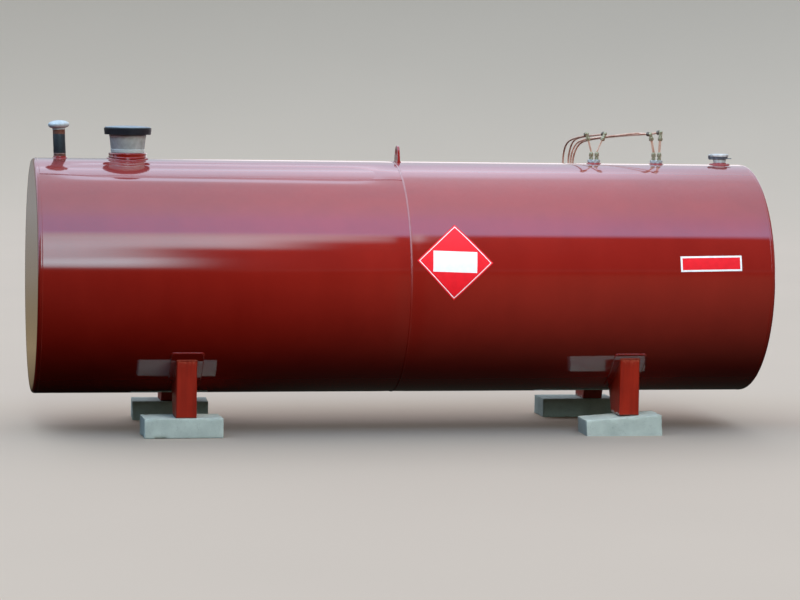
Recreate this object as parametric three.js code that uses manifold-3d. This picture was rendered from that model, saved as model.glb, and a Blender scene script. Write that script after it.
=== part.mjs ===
import * as THREE from 'three';
import { mergeVertices } from 'three/addons/utils/BufferGeometryUtils.js';
import Module from 'manifold-3d';

const wasm = await Module();
wasm.setup();

// A horizontal cylindrical fuel tank on four legs. Millimetres, +Z up.
// The origin is on the ground under the middle of the tank, with the tank's axis along X.

// Shell and heads
const TANK_RADIUS = 609.6;
const TANK_LENGTH = 3830;
const PLATE = 4.8;
const HEAD_KNUCKLE = 16.5;
const HEAD_FLANGE = 6;
const GIRTH_SEAM_X = -22;
const GIRTH_WELD_WIDTH = 8;
const LAP_SEAM_ANGLE_LEFT = 61;
const LAP_SEAM_ANGLE_RIGHT = 60;
const LAP_SEAM_WIDTH = 9;
const WELD_CROWN = 1.6;

// Supports
const PAD_LENGTH = 406;
const PAD_WIDTH = 203;
const PAD_HEIGHT = 102;
const AXIS_ABOVE_PAD = 693;
const SUNK_PAD_TILT = 3.8;
const SUNK_PAD_HEIGHT = 142;
const LEG_WIDTH = 106;
const LEG_OUTER_FACE = 470;
const LEG_FOOT_DEPTH = 175;
const LEG_INNER_SLOPE = 0.47;
const LEG_LEFT_X = -1152.5;
const LEG_RIGHT_X = 1176;
const WEAR_WIDTH = 168;
const WEAR_TOP_ANGLE = -36.4;
const WEAR_BOTTOM_ANGLE = -65;

// Places of the fittings along the crest of the tank
const LUG_X = 5;
const VENT_X = -1771;
const EMERGENCY_X = -1421;
const FILL_X = 1779;
const LINE_X = [1078, 1424.5];

// Fit of pieces that touch, and how finely round shapes are divided
const GAP = 0.3;
const TANK_SEGMENTS = 72;
const LARGE_FITTING_SEGMENTS = 40;
const FITTING_SEGMENTS = 28;
const SMALL_SEGMENTS = 12;
const TUBE_SIDES = 8;

const AXIS_HEIGHT = PAD_HEIGHT + GAP + AXIS_ABOVE_PAD;
const TOP = TANK_RADIUS;
const HALF = TANK_LENGTH / 2;
const STRAIGHT_END = HALF - HEAD_KNUCKLE - HEAD_FLANGE;

const PAINT = { color: 0x84161a, roughness: 0.12, metalness: 0.0 };
const LEG_PAINT = { color: 0xa02418, roughness: 0.35, metalness: 0.0 };
const CONCRETE = { color: 0xb9bfbd, roughness: 0.9, metalness: 0.0 };
const ZINC_PLATE = { color: 0xc4c9c9, roughness: 0.45, metalness: 0.7 };
const CAST_ALUMINIUM = { color: 0xa9adae, roughness: 0.5, metalness: 0.7 };
const BLACK = { color: 0x15171a, roughness: 0.5, metalness: 0.0 };
const BLACK_PIPE = { color: 0x23272b, roughness: 0.45, metalness: 0.3 };
const BRASS = { color: 0xa8925c, roughness: 0.35, metalness: 0.9 };
const COPPER = { color: 0xa9664c, roughness: 0.35, metalness: 0.9 };

const radians = (degrees) => THREE.MathUtils.degToRad(degrees);

// A closed three.js geometry as a solid that can be joined and cut.
function solid(geometry) {
  const bare = geometry.clone();
  bare.deleteAttribute('normal');
  bare.deleteAttribute('uv');
  const welded = mergeVertices(bare, 1e-4);
  return new wasm.Manifold(new wasm.Mesh({
    numProp: 3,
    vertProperties: Float32Array.from(welded.attributes.position.array),
    triVerts: Uint32Array.from(welded.index.array),
  }));
}

function geometryOf(shape) {
  const mesh = shape.getMesh();
  const geometry = new THREE.BufferGeometry();
  geometry.setAttribute('position', new THREE.BufferAttribute(Float32Array.from(mesh.vertProperties), 3));
  geometry.setIndex(new THREE.BufferAttribute(Uint32Array.from(mesh.triVerts), 1));
  geometry.computeVertexNormals();
  return geometry;
}

function piece(name, shape, finish) {
  const geometry = shape.isBufferGeometry ? shape : geometryOf(shape);
  const mesh = new THREE.Mesh(geometry, new THREE.MeshStandardMaterial(finish));
  mesh.name = name;
  return mesh;
}

// Profiles are lists of [radius, height]. The first shape stands on the Z axis, the second lies along X.
function turned(profile, segments = FITTING_SEGMENTS) {
  const points = profile.map(([r, h]) => new THREE.Vector2(r, h));
  return new THREE.LatheGeometry(points, segments).rotateX(Math.PI / 2);
}

function turnedAlongX(profile) {
  const points = profile.map(([r, x]) => new THREE.Vector2(r, x));
  return new THREE.LatheGeometry(points, TANK_SEGMENTS).rotateZ(-Math.PI / 2);
}

// A closed ring profile between two radii and two heights.
function ring(outer, inner, low, high) {
  return [[inner, low], [outer, low], [outer, high], [inner, high], [inner, low]];
}

// A closed disc profile.
const disc = (radius, low, high) => [[0, low], [radius, low], [radius, high], [0, high]];

// A box from its size and its middle.
function box(size, middle) {
  return new THREE.BoxGeometry(...size).translate(...middle);
}

const tank = new THREE.Group();
tank.position.set(0, 0, AXIS_HEIGHT);

// The fittings that are welded to the crest start inside the shell and are cut to sit on its curve.
const FOOT = TOP - 15;
const roundTank = (radius) => solid(turnedAlongX(disc(radius, -HALF, HALF)));
const seat = roundTank(TANK_RADIUS + GAP);

function seatedOnShell(profile, x, segments = FITTING_SEGMENTS) {
  return solid(turned(profile, segments).translate(x, 0, 0)).subtract(seat);
}

// A coupling on the crest: its outside, the socket that takes a fitting and the bore into the tank.
const SOCKET_FLOOR = 3;
function coupling(x, outer, top, socket, bore, segments) {
  return seatedOnShell([
    [bore, FOOT],
    [outer, FOOT],
    [outer, TOP + top],
    [socket, TOP + top],
    [socket, TOP + SOCKET_FLOOR],
    [bore, TOP + SOCKET_FLOOR],
    [bore, FOOT],
  ], x, segments);
}

// Shell

const PIPE_BORE = 26;
const EMERGENCY_BORE = 76;
const DRILL_LOW = TANK_RADIUS - 60;
const DRILL_HIGH = TANK_RADIUS + 20;
const openings = [
  [VENT_X, PIPE_BORE],
  [EMERGENCY_X, EMERGENCY_BORE],
  [FILL_X, PIPE_BORE],
  ...LINE_X.map((x) => [x, PIPE_BORE]),
];

function shellCourse(from, to) {
  let course = solid(turnedAlongX(ring(TANK_RADIUS, TANK_RADIUS - PLATE, from, to)));
  for (const [x, bore] of openings) {
    if (x > from && x < to) {
      const drill = turned(disc(bore, DRILL_LOW, DRILL_HIGH)).translate(x, 0, 0);
      course = course.subtract(solid(drill));
    }
  }
  return course;
}

const seamLeft = GIRTH_SEAM_X - GIRTH_WELD_WIDTH / 2;
const seamRight = GIRTH_SEAM_X + GIRTH_WELD_WIDTH / 2;
tank.add(piece('shell_course_left', shellCourse(-STRAIGHT_END + GAP, seamLeft), PAINT));
tank.add(piece('shell_course_right', shellCourse(seamRight, STRAIGHT_END - GAP), PAINT));
const girthWeld = ring(TANK_RADIUS + WELD_CROWN, TANK_RADIUS - PLATE, seamLeft + GAP, seamRight - GAP);
tank.add(piece('girth_weld', turnedAlongX(girthWeld), PAINT));

// A strip along the shell at an angle above the horizontal, on the front (-1) or the rear side (1).
function lapSeam(from, to, angle, side) {
  const size = [to - from, LAP_SEAM_WIDTH, WELD_CROWN * 3];
  const strip = box(size, [(from + to) / 2, 0, TANK_RADIUS + WELD_CROWN / 2]);
  strip.rotateX(-side * radians(90 - angle));
  return solid(strip).intersect(roundTank(TANK_RADIUS + WELD_CROWN)).subtract(seat);
}

tank.add(piece('lap_seam_left', lapSeam(-STRAIGHT_END, seamLeft, LAP_SEAM_ANGLE_LEFT, -1), PAINT));
tank.add(piece('lap_seam_right', lapSeam(seamRight, STRAIGHT_END, LAP_SEAM_ANGLE_RIGHT, 1), PAINT));

// A flat head with a rounded knuckle and a short straight flange, of even thickness.
// The profile runs from the middle of the inner face, round the flange, to the middle of the outer face.
const KNUCKLE_STEPS = 3;
function headProfile() {
  const centreRadius = TANK_RADIUS - HEAD_KNUCKLE;
  const centreX = HALF - HEAD_KNUCKLE;
  const around = (radius, turn) => [
    centreRadius + radius * Math.cos(turn),
    centreX + radius * Math.sin(turn),
  ];
  const turns = [];
  for (let i = 0; i <= KNUCKLE_STEPS; i++) {
    turns.push(radians(90 * (i / KNUCKLE_STEPS)));
  }
  return [
    [0, HALF - PLATE],
    ...turns.toReversed().map((turn) => around(HEAD_KNUCKLE - PLATE, turn)),
    [TANK_RADIUS - PLATE, STRAIGHT_END],
    [TANK_RADIUS, STRAIGHT_END],
    ...turns.map((turn) => around(HEAD_KNUCKLE, turn)),
    [0, HALF],
  ];
}

const mirrored = (profile) => profile.map(([r, x]) => [r, -x]).reverse();
tank.add(piece('head_left', turnedAlongX(mirrored(headProfile())), PAINT));
tank.add(piece('head_right', turnedAlongX(headProfile()), PAINT));

// Supports

const wearInner = TANK_RADIUS + GAP;
const wearOuter = wearInner + PLATE;
const underWearPlate = roundTank(wearOuter + GAP);

// A solid from an outline in the plane across the tank. Points are [y, z] on the front side, and
// side 1 mirrors them to the rear.
function acrossTank(outline, width, x, side) {
  const section = new THREE.Shape(outline.map(([y, z]) => new THREE.Vector2(-side * y, z)));
  const shape = new THREE.ExtrudeGeometry(section, { depth: width, bevelEnabled: false });
  shape.translate(0, 0, -width / 2);
  shape.rotateX(Math.PI / 2);
  shape.rotateZ(Math.PI / 2);
  shape.translate(x, 0, 0);
  return solid(shape);
}

function wearPlate(x, side) {
  const band = solid(turnedAlongX(ring(wearOuter, wearInner, x - WEAR_WIDTH / 2, x + WEAR_WIDTH / 2)));
  const reach = TANK_RADIUS * 2;
  const top = radians(WEAR_TOP_ANGLE);
  const bottom = radians(WEAR_BOTTOM_ANGLE);
  const wedge = [
    [0, 0],
    [-reach * Math.cos(top), reach * Math.sin(top)],
    [-reach * Math.cos(bottom), reach * Math.sin(bottom)],
  ];
  return band.intersect(acrossTank(wedge, WEAR_WIDTH * 2, x, side));
}

// A leg: upright outside, and its inner face slopes under the tank.
const LEG_BLANK_HEIGHT = 480;
function leg(x, side) {
  const foot = -AXIS_ABOVE_PAD;
  const blankTop = foot + LEG_BLANK_HEIGHT;
  const outline = [
    [-LEG_OUTER_FACE, foot],
    [-LEG_OUTER_FACE + LEG_FOOT_DEPTH, foot],
    [-LEG_OUTER_FACE + LEG_FOOT_DEPTH + LEG_BLANK_HEIGHT * LEG_INNER_SLOPE, blankTop],
    [-LEG_OUTER_FACE, blankTop],
  ];
  return acrossTank(outline, LEG_WIDTH, x, side).subtract(underWearPlate);
}

function pad(x, y, turn) {
  return new THREE.BoxGeometry(PAD_LENGTH, PAD_WIDTH, PAD_HEIGHT)
    .translate(0, 0, -PAD_HEIGHT / 2 - GAP)
    .rotateZ(radians(turn))
    .translate(x, y, -AXIS_ABOVE_PAD);
}

// The front right block has sunk at its left end. The leg bears on it along the leg's right edge.
function sunkPad(x, y, turn, bearingX) {
  const drop = (bearingX - x) * Math.tan(radians(SUNK_PAD_TILT));
  const block = new THREE.BoxGeometry(PAD_LENGTH, PAD_WIDTH, SUNK_PAD_HEIGHT)
    .translate(0, 0, -SUNK_PAD_HEIGHT / 2)
    .rotateY(-radians(SUNK_PAD_TILT))
    .rotateZ(radians(turn))
    .translate(x, y, -AXIS_ABOVE_PAD - drop - GAP);
  const groundSize = [PAD_LENGTH * 2, PAD_WIDTH * 2, PAD_HEIGHT];
  const ground = box(groundSize, [x, y, -AXIS_HEIGHT - PAD_HEIGHT / 2]);
  return solid(block).subtract(solid(ground));
}

const corners = [
  ['front_left', LEG_LEFT_X, -1],
  ['front_right', LEG_RIGHT_X, -1],
  ['rear_left', LEG_LEFT_X, 1],
  ['rear_right', LEG_RIGHT_X, 1],
];
for (const [corner, x, side] of corners) {
  tank.add(piece(`wear_plate_${corner}`, wearPlate(x, side), PAINT));
  tank.add(piece(`leg_${corner}`, leg(x, side), LEG_PAINT));
}

// Each block's middle along and across the tank, and how far it is turned
const PAD_PLACES = {
  front_left: [-1167, -380, 1.4],
  front_right: [1137, -420, -1],
  rear_left: [-1151, 375, -3.3],
  rear_right: [1101, 401, 0],
};
tank.add(piece('pad_front_left', pad(...PAD_PLACES.front_left), CONCRETE));
const bearingEdge = LEG_RIGHT_X + LEG_WIDTH / 2;
tank.add(piece('pad_front_right', sunkPad(...PAD_PLACES.front_right, bearingEdge), CONCRETE));
tank.add(piece('pad_rear_left', pad(...PAD_PLACES.rear_left), CONCRETE));
tank.add(piece('pad_rear_right', pad(...PAD_PLACES.rear_right), CONCRETE));

// Lifting lug: a plate across the tank with a round top and an eye

const LUG_THICKNESS = 13.5;
const LUG_WIDTH = 100;
const LUG_HEIGHT = 84;
const LUG_CROWN_RADIUS = 36;
const LUG_EYE_RADIUS = 17;
const LUG_SHOULDER = 12;
const LUG_FLANK_ANGLE = 20;
const LUG_CURVE_STEPS = 20;

function liftingLug() {
  const half = LUG_WIDTH / 2;
  const crest = TOP + LUG_HEIGHT - LUG_CROWN_RADIUS;
  const flank = radians(LUG_FLANK_ANGLE);
  const outline = new THREE.Shape();
  outline.moveTo(-half, FOOT);
  outline.lineTo(half, FOOT);
  outline.lineTo(half, TOP + LUG_SHOULDER);
  outline.absarc(0, crest, LUG_CROWN_RADIUS, flank, Math.PI - flank, false);
  outline.lineTo(-half, TOP + LUG_SHOULDER);
  const eye = new THREE.Path();
  eye.absarc(0, crest, LUG_EYE_RADIUS, 0, Math.PI * 2, true);
  outline.holes.push(eye);
  const settings = { depth: LUG_THICKNESS, bevelEnabled: false, curveSegments: LUG_CURVE_STEPS };
  const plate = new THREE.ExtrudeGeometry(outline, settings);
  plate.translate(0, 0, -LUG_THICKNESS / 2);
  plate.rotateX(Math.PI / 2);
  plate.rotateZ(Math.PI / 2);
  plate.translate(LUG_X, 0, 0);
  return solid(plate).subtract(seat);
}

tank.add(piece('lifting_lug', liftingLug(), PAINT));

// Working vent: a pipe with a mushroom cap, which leans a little in its coupling.
// Heights are along the pipe, above the crest of the tank.

const VENT_PIPE_RADIUS = 31.75;
const VENT_PIPE_TOP = 152;
const VENT_COUPLING_RADIUS = 34;
const VENT_COUPLING_TOP = 11;
const VENT_COUPLING_PLAY = 0.6;
const VENT_LEAN = -2.4;
const VENT_NECK_RADIUS = 33.4;
const VENT_NECK_LOW = 147.8;
const VENT_CAP_LOW = 156;
const VENT_CAP_MIDDLE = 173.6;
const VENT_CAP_TOP = 196;
const VENT_CAP_RADIUS = 55;
const CAP_STEPS = 5;

const ventSocket = VENT_PIPE_RADIUS + VENT_COUPLING_PLAY;
const ventCoupling = coupling(VENT_X, VENT_COUPLING_RADIUS, VENT_COUPLING_TOP, ventSocket, PIPE_BORE);
tank.add(piece('vent_coupling', ventCoupling, PAINT));

const vent = new THREE.Group();
vent.position.set(VENT_X, 0, TOP);
vent.rotation.y = radians(VENT_LEAN);
tank.add(vent);
const ventPipeLow = SOCKET_FLOOR + PIPE_BORE * Math.abs(Math.sin(radians(VENT_LEAN))) + VENT_COUPLING_PLAY;
const ventPipe = ring(VENT_PIPE_RADIUS, PIPE_BORE, ventPipeLow, VENT_PIPE_TOP);
vent.add(piece('vent_pipe', turned(ventPipe), BLACK_PIPE));

// The cap is a lens over a short neck that fits round the pipe's end.
function ventCapProfile() {
  const hollow = VENT_PIPE_RADIUS + GAP;
  const profile = [
    [0, VENT_PIPE_TOP + GAP],
    [hollow, VENT_PIPE_TOP + GAP],
    [hollow, VENT_NECK_LOW],
    [VENT_NECK_RADIUS, VENT_NECK_LOW],
    [VENT_NECK_RADIUS, VENT_CAP_LOW],
  ];
  for (let i = 1; i <= CAP_STEPS; i++) {
    const turn = radians(90 * (i / CAP_STEPS));
    const radius = VENT_NECK_RADIUS + (VENT_CAP_RADIUS - VENT_NECK_RADIUS) * Math.sin(turn);
    profile.push([radius, VENT_CAP_MIDDLE - (VENT_CAP_MIDDLE - VENT_CAP_LOW) * Math.cos(turn)]);
  }
  for (let i = 1; i <= CAP_STEPS; i++) {
    const turn = radians(90 * (i / CAP_STEPS));
    const radius = i < CAP_STEPS ? VENT_CAP_RADIUS * Math.cos(turn) : 0;
    profile.push([radius, VENT_CAP_MIDDLE + (VENT_CAP_TOP - VENT_CAP_MIDDLE) * Math.sin(turn)]);
  }
  return profile;
}

vent.add(piece('vent_cap', turned(ventCapProfile()), ZINC_PLATE));

// Emergency vent: a large collar, a tapered body and a loose weighted cover.
// Heights are above the crest of the tank.

const COLLAR_RADIUS = 99.5;
const COLLAR_TOP = 31;
const BODY_NECK_RADIUS = 78;
const BODY_FOOT_RADIUS = 85.5;
const BODY_BAND_RADIUS = 88.5;
const BODY_LOW_RADIUS = 87;
const BODY_HIGH_RADIUS = 94;
const BODY_RIM_RADIUS = 96;
const BODY_BORE = 72;
const BODY_BAND_LOW = 34;
const BODY_BAND_HIGH = 50;
const BODY_RIM_LOW = 115;
const BODY_TOP = 125.7;
const SKIRT_RADIUS = 123;
const SKIRT_PLATE = 7;
const SKIRT_FLARE = 3;
const SKIRT_LIP = 12;
const SKIRT_LOW = 126;
const SKIRT_TOP = 160;
const LID_RIM_RADIUS = 118.5;
const LID_RIM_TOP = 165.5;
const LID_TOP = 172;
const LID_STEPS = 4;
const EDGE = 2.5;

const collarSocket = BODY_NECK_RADIUS + GAP;
const collar = coupling(
  EMERGENCY_X, COLLAR_RADIUS, COLLAR_TOP, collarSocket, EMERGENCY_BORE, LARGE_FITTING_SEGMENTS,
);
tank.add(piece('emergency_vent_collar', collar, PAINT));

const emergencyVent = new THREE.Group();
emergencyVent.position.set(EMERGENCY_X, 0, TOP);
tank.add(emergencyVent);
const ventBody = solid(turned([
  [BODY_BORE, SOCKET_FLOOR + GAP],
  [BODY_NECK_RADIUS, SOCKET_FLOOR + GAP],
  [BODY_NECK_RADIUS, COLLAR_TOP + GAP],
  [BODY_FOOT_RADIUS, COLLAR_TOP + GAP],
  [BODY_LOW_RADIUS, BODY_BAND_LOW],
  [BODY_BAND_RADIUS, BODY_BAND_HIGH - EDGE],
  [BODY_LOW_RADIUS, BODY_BAND_HIGH],
  [BODY_HIGH_RADIUS, BODY_RIM_LOW - EDGE],
  [BODY_RIM_RADIUS, BODY_RIM_LOW],
  [BODY_RIM_RADIUS, BODY_TOP],
  [BODY_BORE, BODY_TOP],
  [BODY_BORE, SOCKET_FLOOR + GAP],
], LARGE_FITTING_SEGMENTS));

// A bar across the bore guides the stem of the cover.
const STEM_RADIUS = 8;
const STEM_CLEARANCE = 1.5;
const STEM_LOW = 40;
const GUIDE_RADIUS = 17;
const GUIDE_LOW = 58;
const GUIDE_HIGH = 76;
const GUIDE_BAR_WIDTH = 14;
const CUT_ALLOWANCE = 5;
const guideBarSize = [(BODY_BORE + 2) * 2, GUIDE_BAR_WIDTH, GUIDE_HIGH - GUIDE_LOW];
const guideBar = solid(box(guideBarSize, [0, 0, (GUIDE_LOW + GUIDE_HIGH) / 2]));
const guideHub = solid(turned(disc(GUIDE_RADIUS, GUIDE_LOW, GUIDE_HIGH), SMALL_SEGMENTS));
const guideHole = disc(STEM_RADIUS + STEM_CLEARANCE, GUIDE_LOW - CUT_ALLOWANCE, GUIDE_HIGH + CUT_ALLOWANCE);
const guide = guideBar.add(guideHub).subtract(solid(turned(guideHole, SMALL_SEGMENTS)));
emergencyVent.add(piece('emergency_vent_body', ventBody.add(guide), CAST_ALUMINIUM));

const skirtInner = SKIRT_RADIUS - SKIRT_PLATE;
const lipInner = SKIRT_RADIUS - SKIRT_LIP;
const lipLow = SKIRT_TOP - 6;
emergencyVent.add(piece('emergency_vent_skirt', turned([
  [skirtInner, SKIRT_LOW],
  [SKIRT_RADIUS - SKIRT_FLARE, SKIRT_LOW],
  [SKIRT_RADIUS, SKIRT_TOP - 10],
  [SKIRT_RADIUS, SKIRT_TOP],
  [lipInner, SKIRT_TOP],
  [lipInner, lipLow],
  [skirtInner, lipLow],
  [skirtInner, SKIRT_LOW],
], LARGE_FITTING_SEGMENTS), BLACK));

// The lid is a shallow dome with a stem, a seat ring that rests on the rim of the body, and an edge that
// lies over the lip of the skirt.
const LID_SEAT_OUTER = 93;
const LID_SEAT_INNER = 76;
function lidProfile() {
  const plug = lipInner - GAP;
  const profile = [
    [0, STEM_LOW],
    [STEM_RADIUS, STEM_LOW],
    [STEM_RADIUS, lipLow],
    [LID_SEAT_INNER, lipLow],
    [LID_SEAT_INNER, SKIRT_LOW],
    [LID_SEAT_OUTER, SKIRT_LOW],
    [LID_SEAT_OUTER, lipLow],
    [plug, lipLow],
    [plug, SKIRT_TOP + GAP],
    [LID_RIM_RADIUS, SKIRT_TOP + GAP],
    [LID_RIM_RADIUS, LID_RIM_TOP - EDGE],
  ];
  const domeRadius = LID_RIM_RADIUS - EDGE;
  for (let i = 0; i <= LID_STEPS; i++) {
    const share = 1 - i / LID_STEPS;
    profile.push([domeRadius * share, LID_RIM_TOP + (LID_TOP - LID_RIM_TOP) * (1 - share ** 2)]);
  }
  return profile;
}

emergencyVent.add(piece('emergency_vent_lid', turned(lidProfile(), LARGE_FITTING_SEGMENTS), CAST_ALUMINIUM));

// Fill opening: a coupling, a short neck, and a base ring with a hinged lid and a hasp ear.
// Places are along the tank from the middle of the opening, and above the crest.

const PIPE_THREAD_RADIUS = 30;
const FILL_COUPLING_RADIUS = 39;
const FILL_COUPLING_TOP = 11;
const FILL_NECK_RADIUS = 33;
const FILL_NECK_TOP = 32;
const FILL_NECK_BAND_LOW = 18;
const FILL_BASE_RADIUS = 44;
const FILL_BASE_TOP = 44.5;
const FILL_LID_RADIUS = 47.5;
const FILL_LID_LOW = FILL_BASE_TOP + GAP;
const FILL_LID_TOP = 58.5;
const HINGE_X = -54;
const HINGE_Z = 50;
const KNUCKLE_RADIUS = 6;
const KNUCKLE_HALF_WIDTH = 9;
const HINGE_PIN_RADIUS = 3;
const HINGE_PIN_CLEARANCE = 0.5;
const EAR_INNER = 9.5;
const EAR_OUTER = 16;
const EAR_LOW = 28;
const EAR_ROOT = -36;
const STRAP_LOW = 47;
const STRAP_HIGH = 54.5;
const STRAP_ROOT = -40;
const HASP_REACH = 64;
const HASP_WIDTH = 24;
const HASP_PLATE = 4;

const pipeSocket = PIPE_THREAD_RADIUS + GAP;
const fillCoupling = coupling(FILL_X, FILL_COUPLING_RADIUS, FILL_COUPLING_TOP, pipeSocket, PIPE_BORE);
tank.add(piece('fill_coupling', fillCoupling, PAINT));

const fill = new THREE.Group();
fill.position.set(FILL_X, 0, TOP);
tank.add(fill);
fill.add(piece('fill_neck', turned([
  [PIPE_BORE, SOCKET_FLOOR + GAP],
  [PIPE_THREAD_RADIUS, SOCKET_FLOOR + GAP],
  [PIPE_THREAD_RADIUS, FILL_COUPLING_TOP + GAP],
  [FILL_NECK_RADIUS - 1, FILL_COUPLING_TOP + GAP],
  [FILL_NECK_RADIUS, FILL_NECK_BAND_LOW],
  [FILL_NECK_RADIUS, FILL_NECK_TOP],
  [PIPE_BORE, FILL_NECK_TOP],
  [PIPE_BORE, SOCKET_FLOOR + GAP],
]), ZINC_PLATE));

// A round bar on the hinge's axis, from one place along Y to another.
function hingeBar(radius, from, to) {
  const bar = new THREE.CylinderGeometry(radius, radius, to - from, SMALL_SEGMENTS);
  return solid(bar.translate(HINGE_X, (from + to) / 2, HINGE_Z));
}

// A box between two places along each axis.
function block(fromX, toX, fromY, toY, fromZ, toZ) {
  const size = [toX - fromX, toY - fromY, toZ - fromZ];
  return solid(box(size, [(fromX + toX) / 2, (fromY + toY) / 2, (fromZ + toZ) / 2]));
}

function fillBase() {
  const low = FILL_NECK_TOP + GAP;
  let base = solid(turned(ring(FILL_BASE_RADIUS, PIPE_BORE, low, FILL_BASE_TOP)));
  for (const [from, to] of [[-EAR_OUTER, -EAR_INNER], [EAR_INNER, EAR_OUTER]]) {
    base = base.add(block(HINGE_X, EAR_ROOT, from, to, EAR_LOW, FILL_BASE_TOP));
    base = base.add(block(HINGE_X - KNUCKLE_RADIUS, HINGE_X, from, to, EAR_LOW + KNUCKLE_RADIUS, HINGE_Z));
    base = base.add(hingeBar(KNUCKLE_RADIUS, from, to));
  }
  base = base.add(hingeBar(HINGE_PIN_RADIUS, -EAR_OUTER, EAR_OUTER));
  const hasp = block(-EAR_ROOT, HASP_REACH, -HASP_WIDTH / 2, HASP_WIDTH / 2, low, low + HASP_PLATE);
  return base.add(hasp);
}

function fillLid() {
  const lid = solid(turned([
    [0, FILL_LID_LOW],
    [FILL_LID_RADIUS, FILL_LID_LOW],
    [FILL_LID_RADIUS, FILL_LID_TOP - EDGE],
    [FILL_LID_RADIUS - EDGE, FILL_LID_TOP],
    [0, FILL_LID_TOP],
  ]));
  const width = KNUCKLE_HALF_WIDTH;
  const strap = block(HINGE_X, STRAP_ROOT, -width, width, STRAP_LOW, STRAP_HIGH);
  const knuckle = hingeBar(KNUCKLE_RADIUS, -width, width);
  const holeHalf = width + CUT_ALLOWANCE;
  const pinHole = hingeBar(HINGE_PIN_RADIUS + HINGE_PIN_CLEARANCE, -holeHalf, holeHalf);
  return lid.add(strap).add(knuckle).subtract(pinHole);
}

fill.add(piece('fill_cap_base', fillBase(), ZINC_PLATE));
fill.add(piece('fill_cap_lid', fillLid(), ZINC_PLATE));

// Fuel lines: two openings, each with a double tapped bushing that feeds two lines

const LINE_COUPLING_RADIUS = 35.5;
const LINE_COUPLING_TOP = 5;
const BUSHING_SIDES = 8;
const BUSHING_RADIUS = 34.6;
const BUSHING_TOP = 20.8;
const TAPPING_OFFSET = 15.5;

LINE_X.forEach((x, index) => {
  const side = ['left', 'right'][index];
  const lineCoupling = coupling(x, LINE_COUPLING_RADIUS, LINE_COUPLING_TOP, pipeSocket, PIPE_BORE);
  tank.add(piece(`line_coupling_${side}`, lineCoupling, PAINT));
  const flangeLow = LINE_COUPLING_TOP + GAP;
  const plug = solid(turned(disc(PIPE_THREAD_RADIUS, SOCKET_FLOOR + GAP, flangeLow + 1)));
  const flange = solid(turned(disc(BUSHING_RADIUS, flangeLow, BUSHING_TOP), BUSHING_SIDES));
  const bushing = piece(`line_bushing_${side}`, plug.add(flange), ZINC_PLATE);
  bushing.position.set(x, 0, TOP);
  tank.add(bushing);
});

// Each line: the place of its tapping along the tank, the corner of its elbow, the length of the elbow's
// leg, the radius of its riser and the route of the copper line, which clears the rear of the tank and
// turns down there. Places are along the tank, across it and above the crest.
const LINE_RADIUS = 4.8;
const REAR_Y = 640;
const LINE_END = -120;
const lines = [
  {
    tapping: LINE_X[0] - TAPPING_OFFSET,
    corner: [1036, 0, 158],
    leg: 38,
    riser: 4.4,
    route: [
      [1038, 69, 145], [1047, 242, 133], [1054, 387, 120], [1060, 501, 102], [1064, 578, 75],
      [1067, 622, 41], [1067.5, 638, 8], [1067.5, REAR_Y, -30], [1067.5, REAR_Y, LINE_END],
    ],
  },
  {
    tapping: LINE_X[0] + TAPPING_OFFSET,
    corner: [1137, 0, 160],
    leg: 40,
    riser: 3.6,
    route: [
      [1121, 50, 154], [1112, 267, 141], [1107, 410, 131], [1102.5, 517, 114], [1100, 581, 86],
      [1098.5, 620, 45], [1098, 637, 8], [1097.7, REAR_Y, -30], [1097.7, REAR_Y, LINE_END],
    ],
  },
  {
    tapping: LINE_X[1] - TAPPING_OFFSET,
    corner: [1389, 0, 160],
    leg: 35,
    riser: 6.35,
    route: [
      [1344, 98, 162], [1267, 277, 145], [1188, 460, 125], [1154, 541, 113], [1131, 594, 91],
      [1118, 625, 52], [1112.5, 637, 12], [1111.1, REAR_Y, -30], [1111.1, REAR_Y, LINE_END],
    ],
  },
  {
    tapping: LINE_X[1] + TAPPING_OFFSET,
    corner: [1446, 0, 171],
    leg: 46,
    riser: 6.35,
    route: [
      [1414, 63, 162], [1336, 219, 150], [1253, 383, 134], [1188, 512, 116], [1153, 580, 96],
      [1136, 614, 62], [1126, 635, 14], [1123.2, REAR_Y, -30], [1123.2, REAR_Y, LINE_END],
    ],
  },
];

const CONNECTOR_HEIGHT = 42;
const CONNECTOR_BODY = 10.5;
const CONNECTOR_WAIST = 8;
const CONNECTOR_NUT = 12;
const CONNECTOR_WAIST_LOW = 14;
const CONNECTOR_NUT_LOW = 18;
const CONNECTOR_NUT_HIGH = 36;
const connectorProfile = [
  [0, 0],
  [CONNECTOR_BODY, 0],
  [CONNECTOR_BODY, CONNECTOR_WAIST_LOW],
  [CONNECTOR_WAIST, CONNECTOR_WAIST_LOW + 1],
  [CONNECTOR_WAIST, CONNECTOR_NUT_LOW - 1],
  [CONNECTOR_NUT, CONNECTOR_NUT_LOW],
  [CONNECTOR_NUT, CONNECTOR_NUT_HIGH],
  [CONNECTOR_WAIST, CONNECTOR_HEIGHT],
  [0, CONNECTOR_HEIGHT],
];

const ELBOW_NUT = 13;
const ELBOW_NUT_LENGTH = 18;
const ELBOW_BODY = 9.5;
const ELBOW_CORNER = 10.5;
const OUTLET_NUT_LOW = 9;
const OUTLET_LENGTH = 27;
const ELBOW_CORNER_RINGS = 6;
const outletProfile = [
  [0, 0],
  [ELBOW_BODY, 0],
  [ELBOW_BODY, OUTLET_NUT_LOW - 1],
  [ELBOW_NUT, OUTLET_NUT_LOW],
  [ELBOW_NUT, OUTLET_LENGTH - 4],
  [ELBOW_BODY, OUTLET_LENGTH],
  [0, OUTLET_LENGTH],
];

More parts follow.
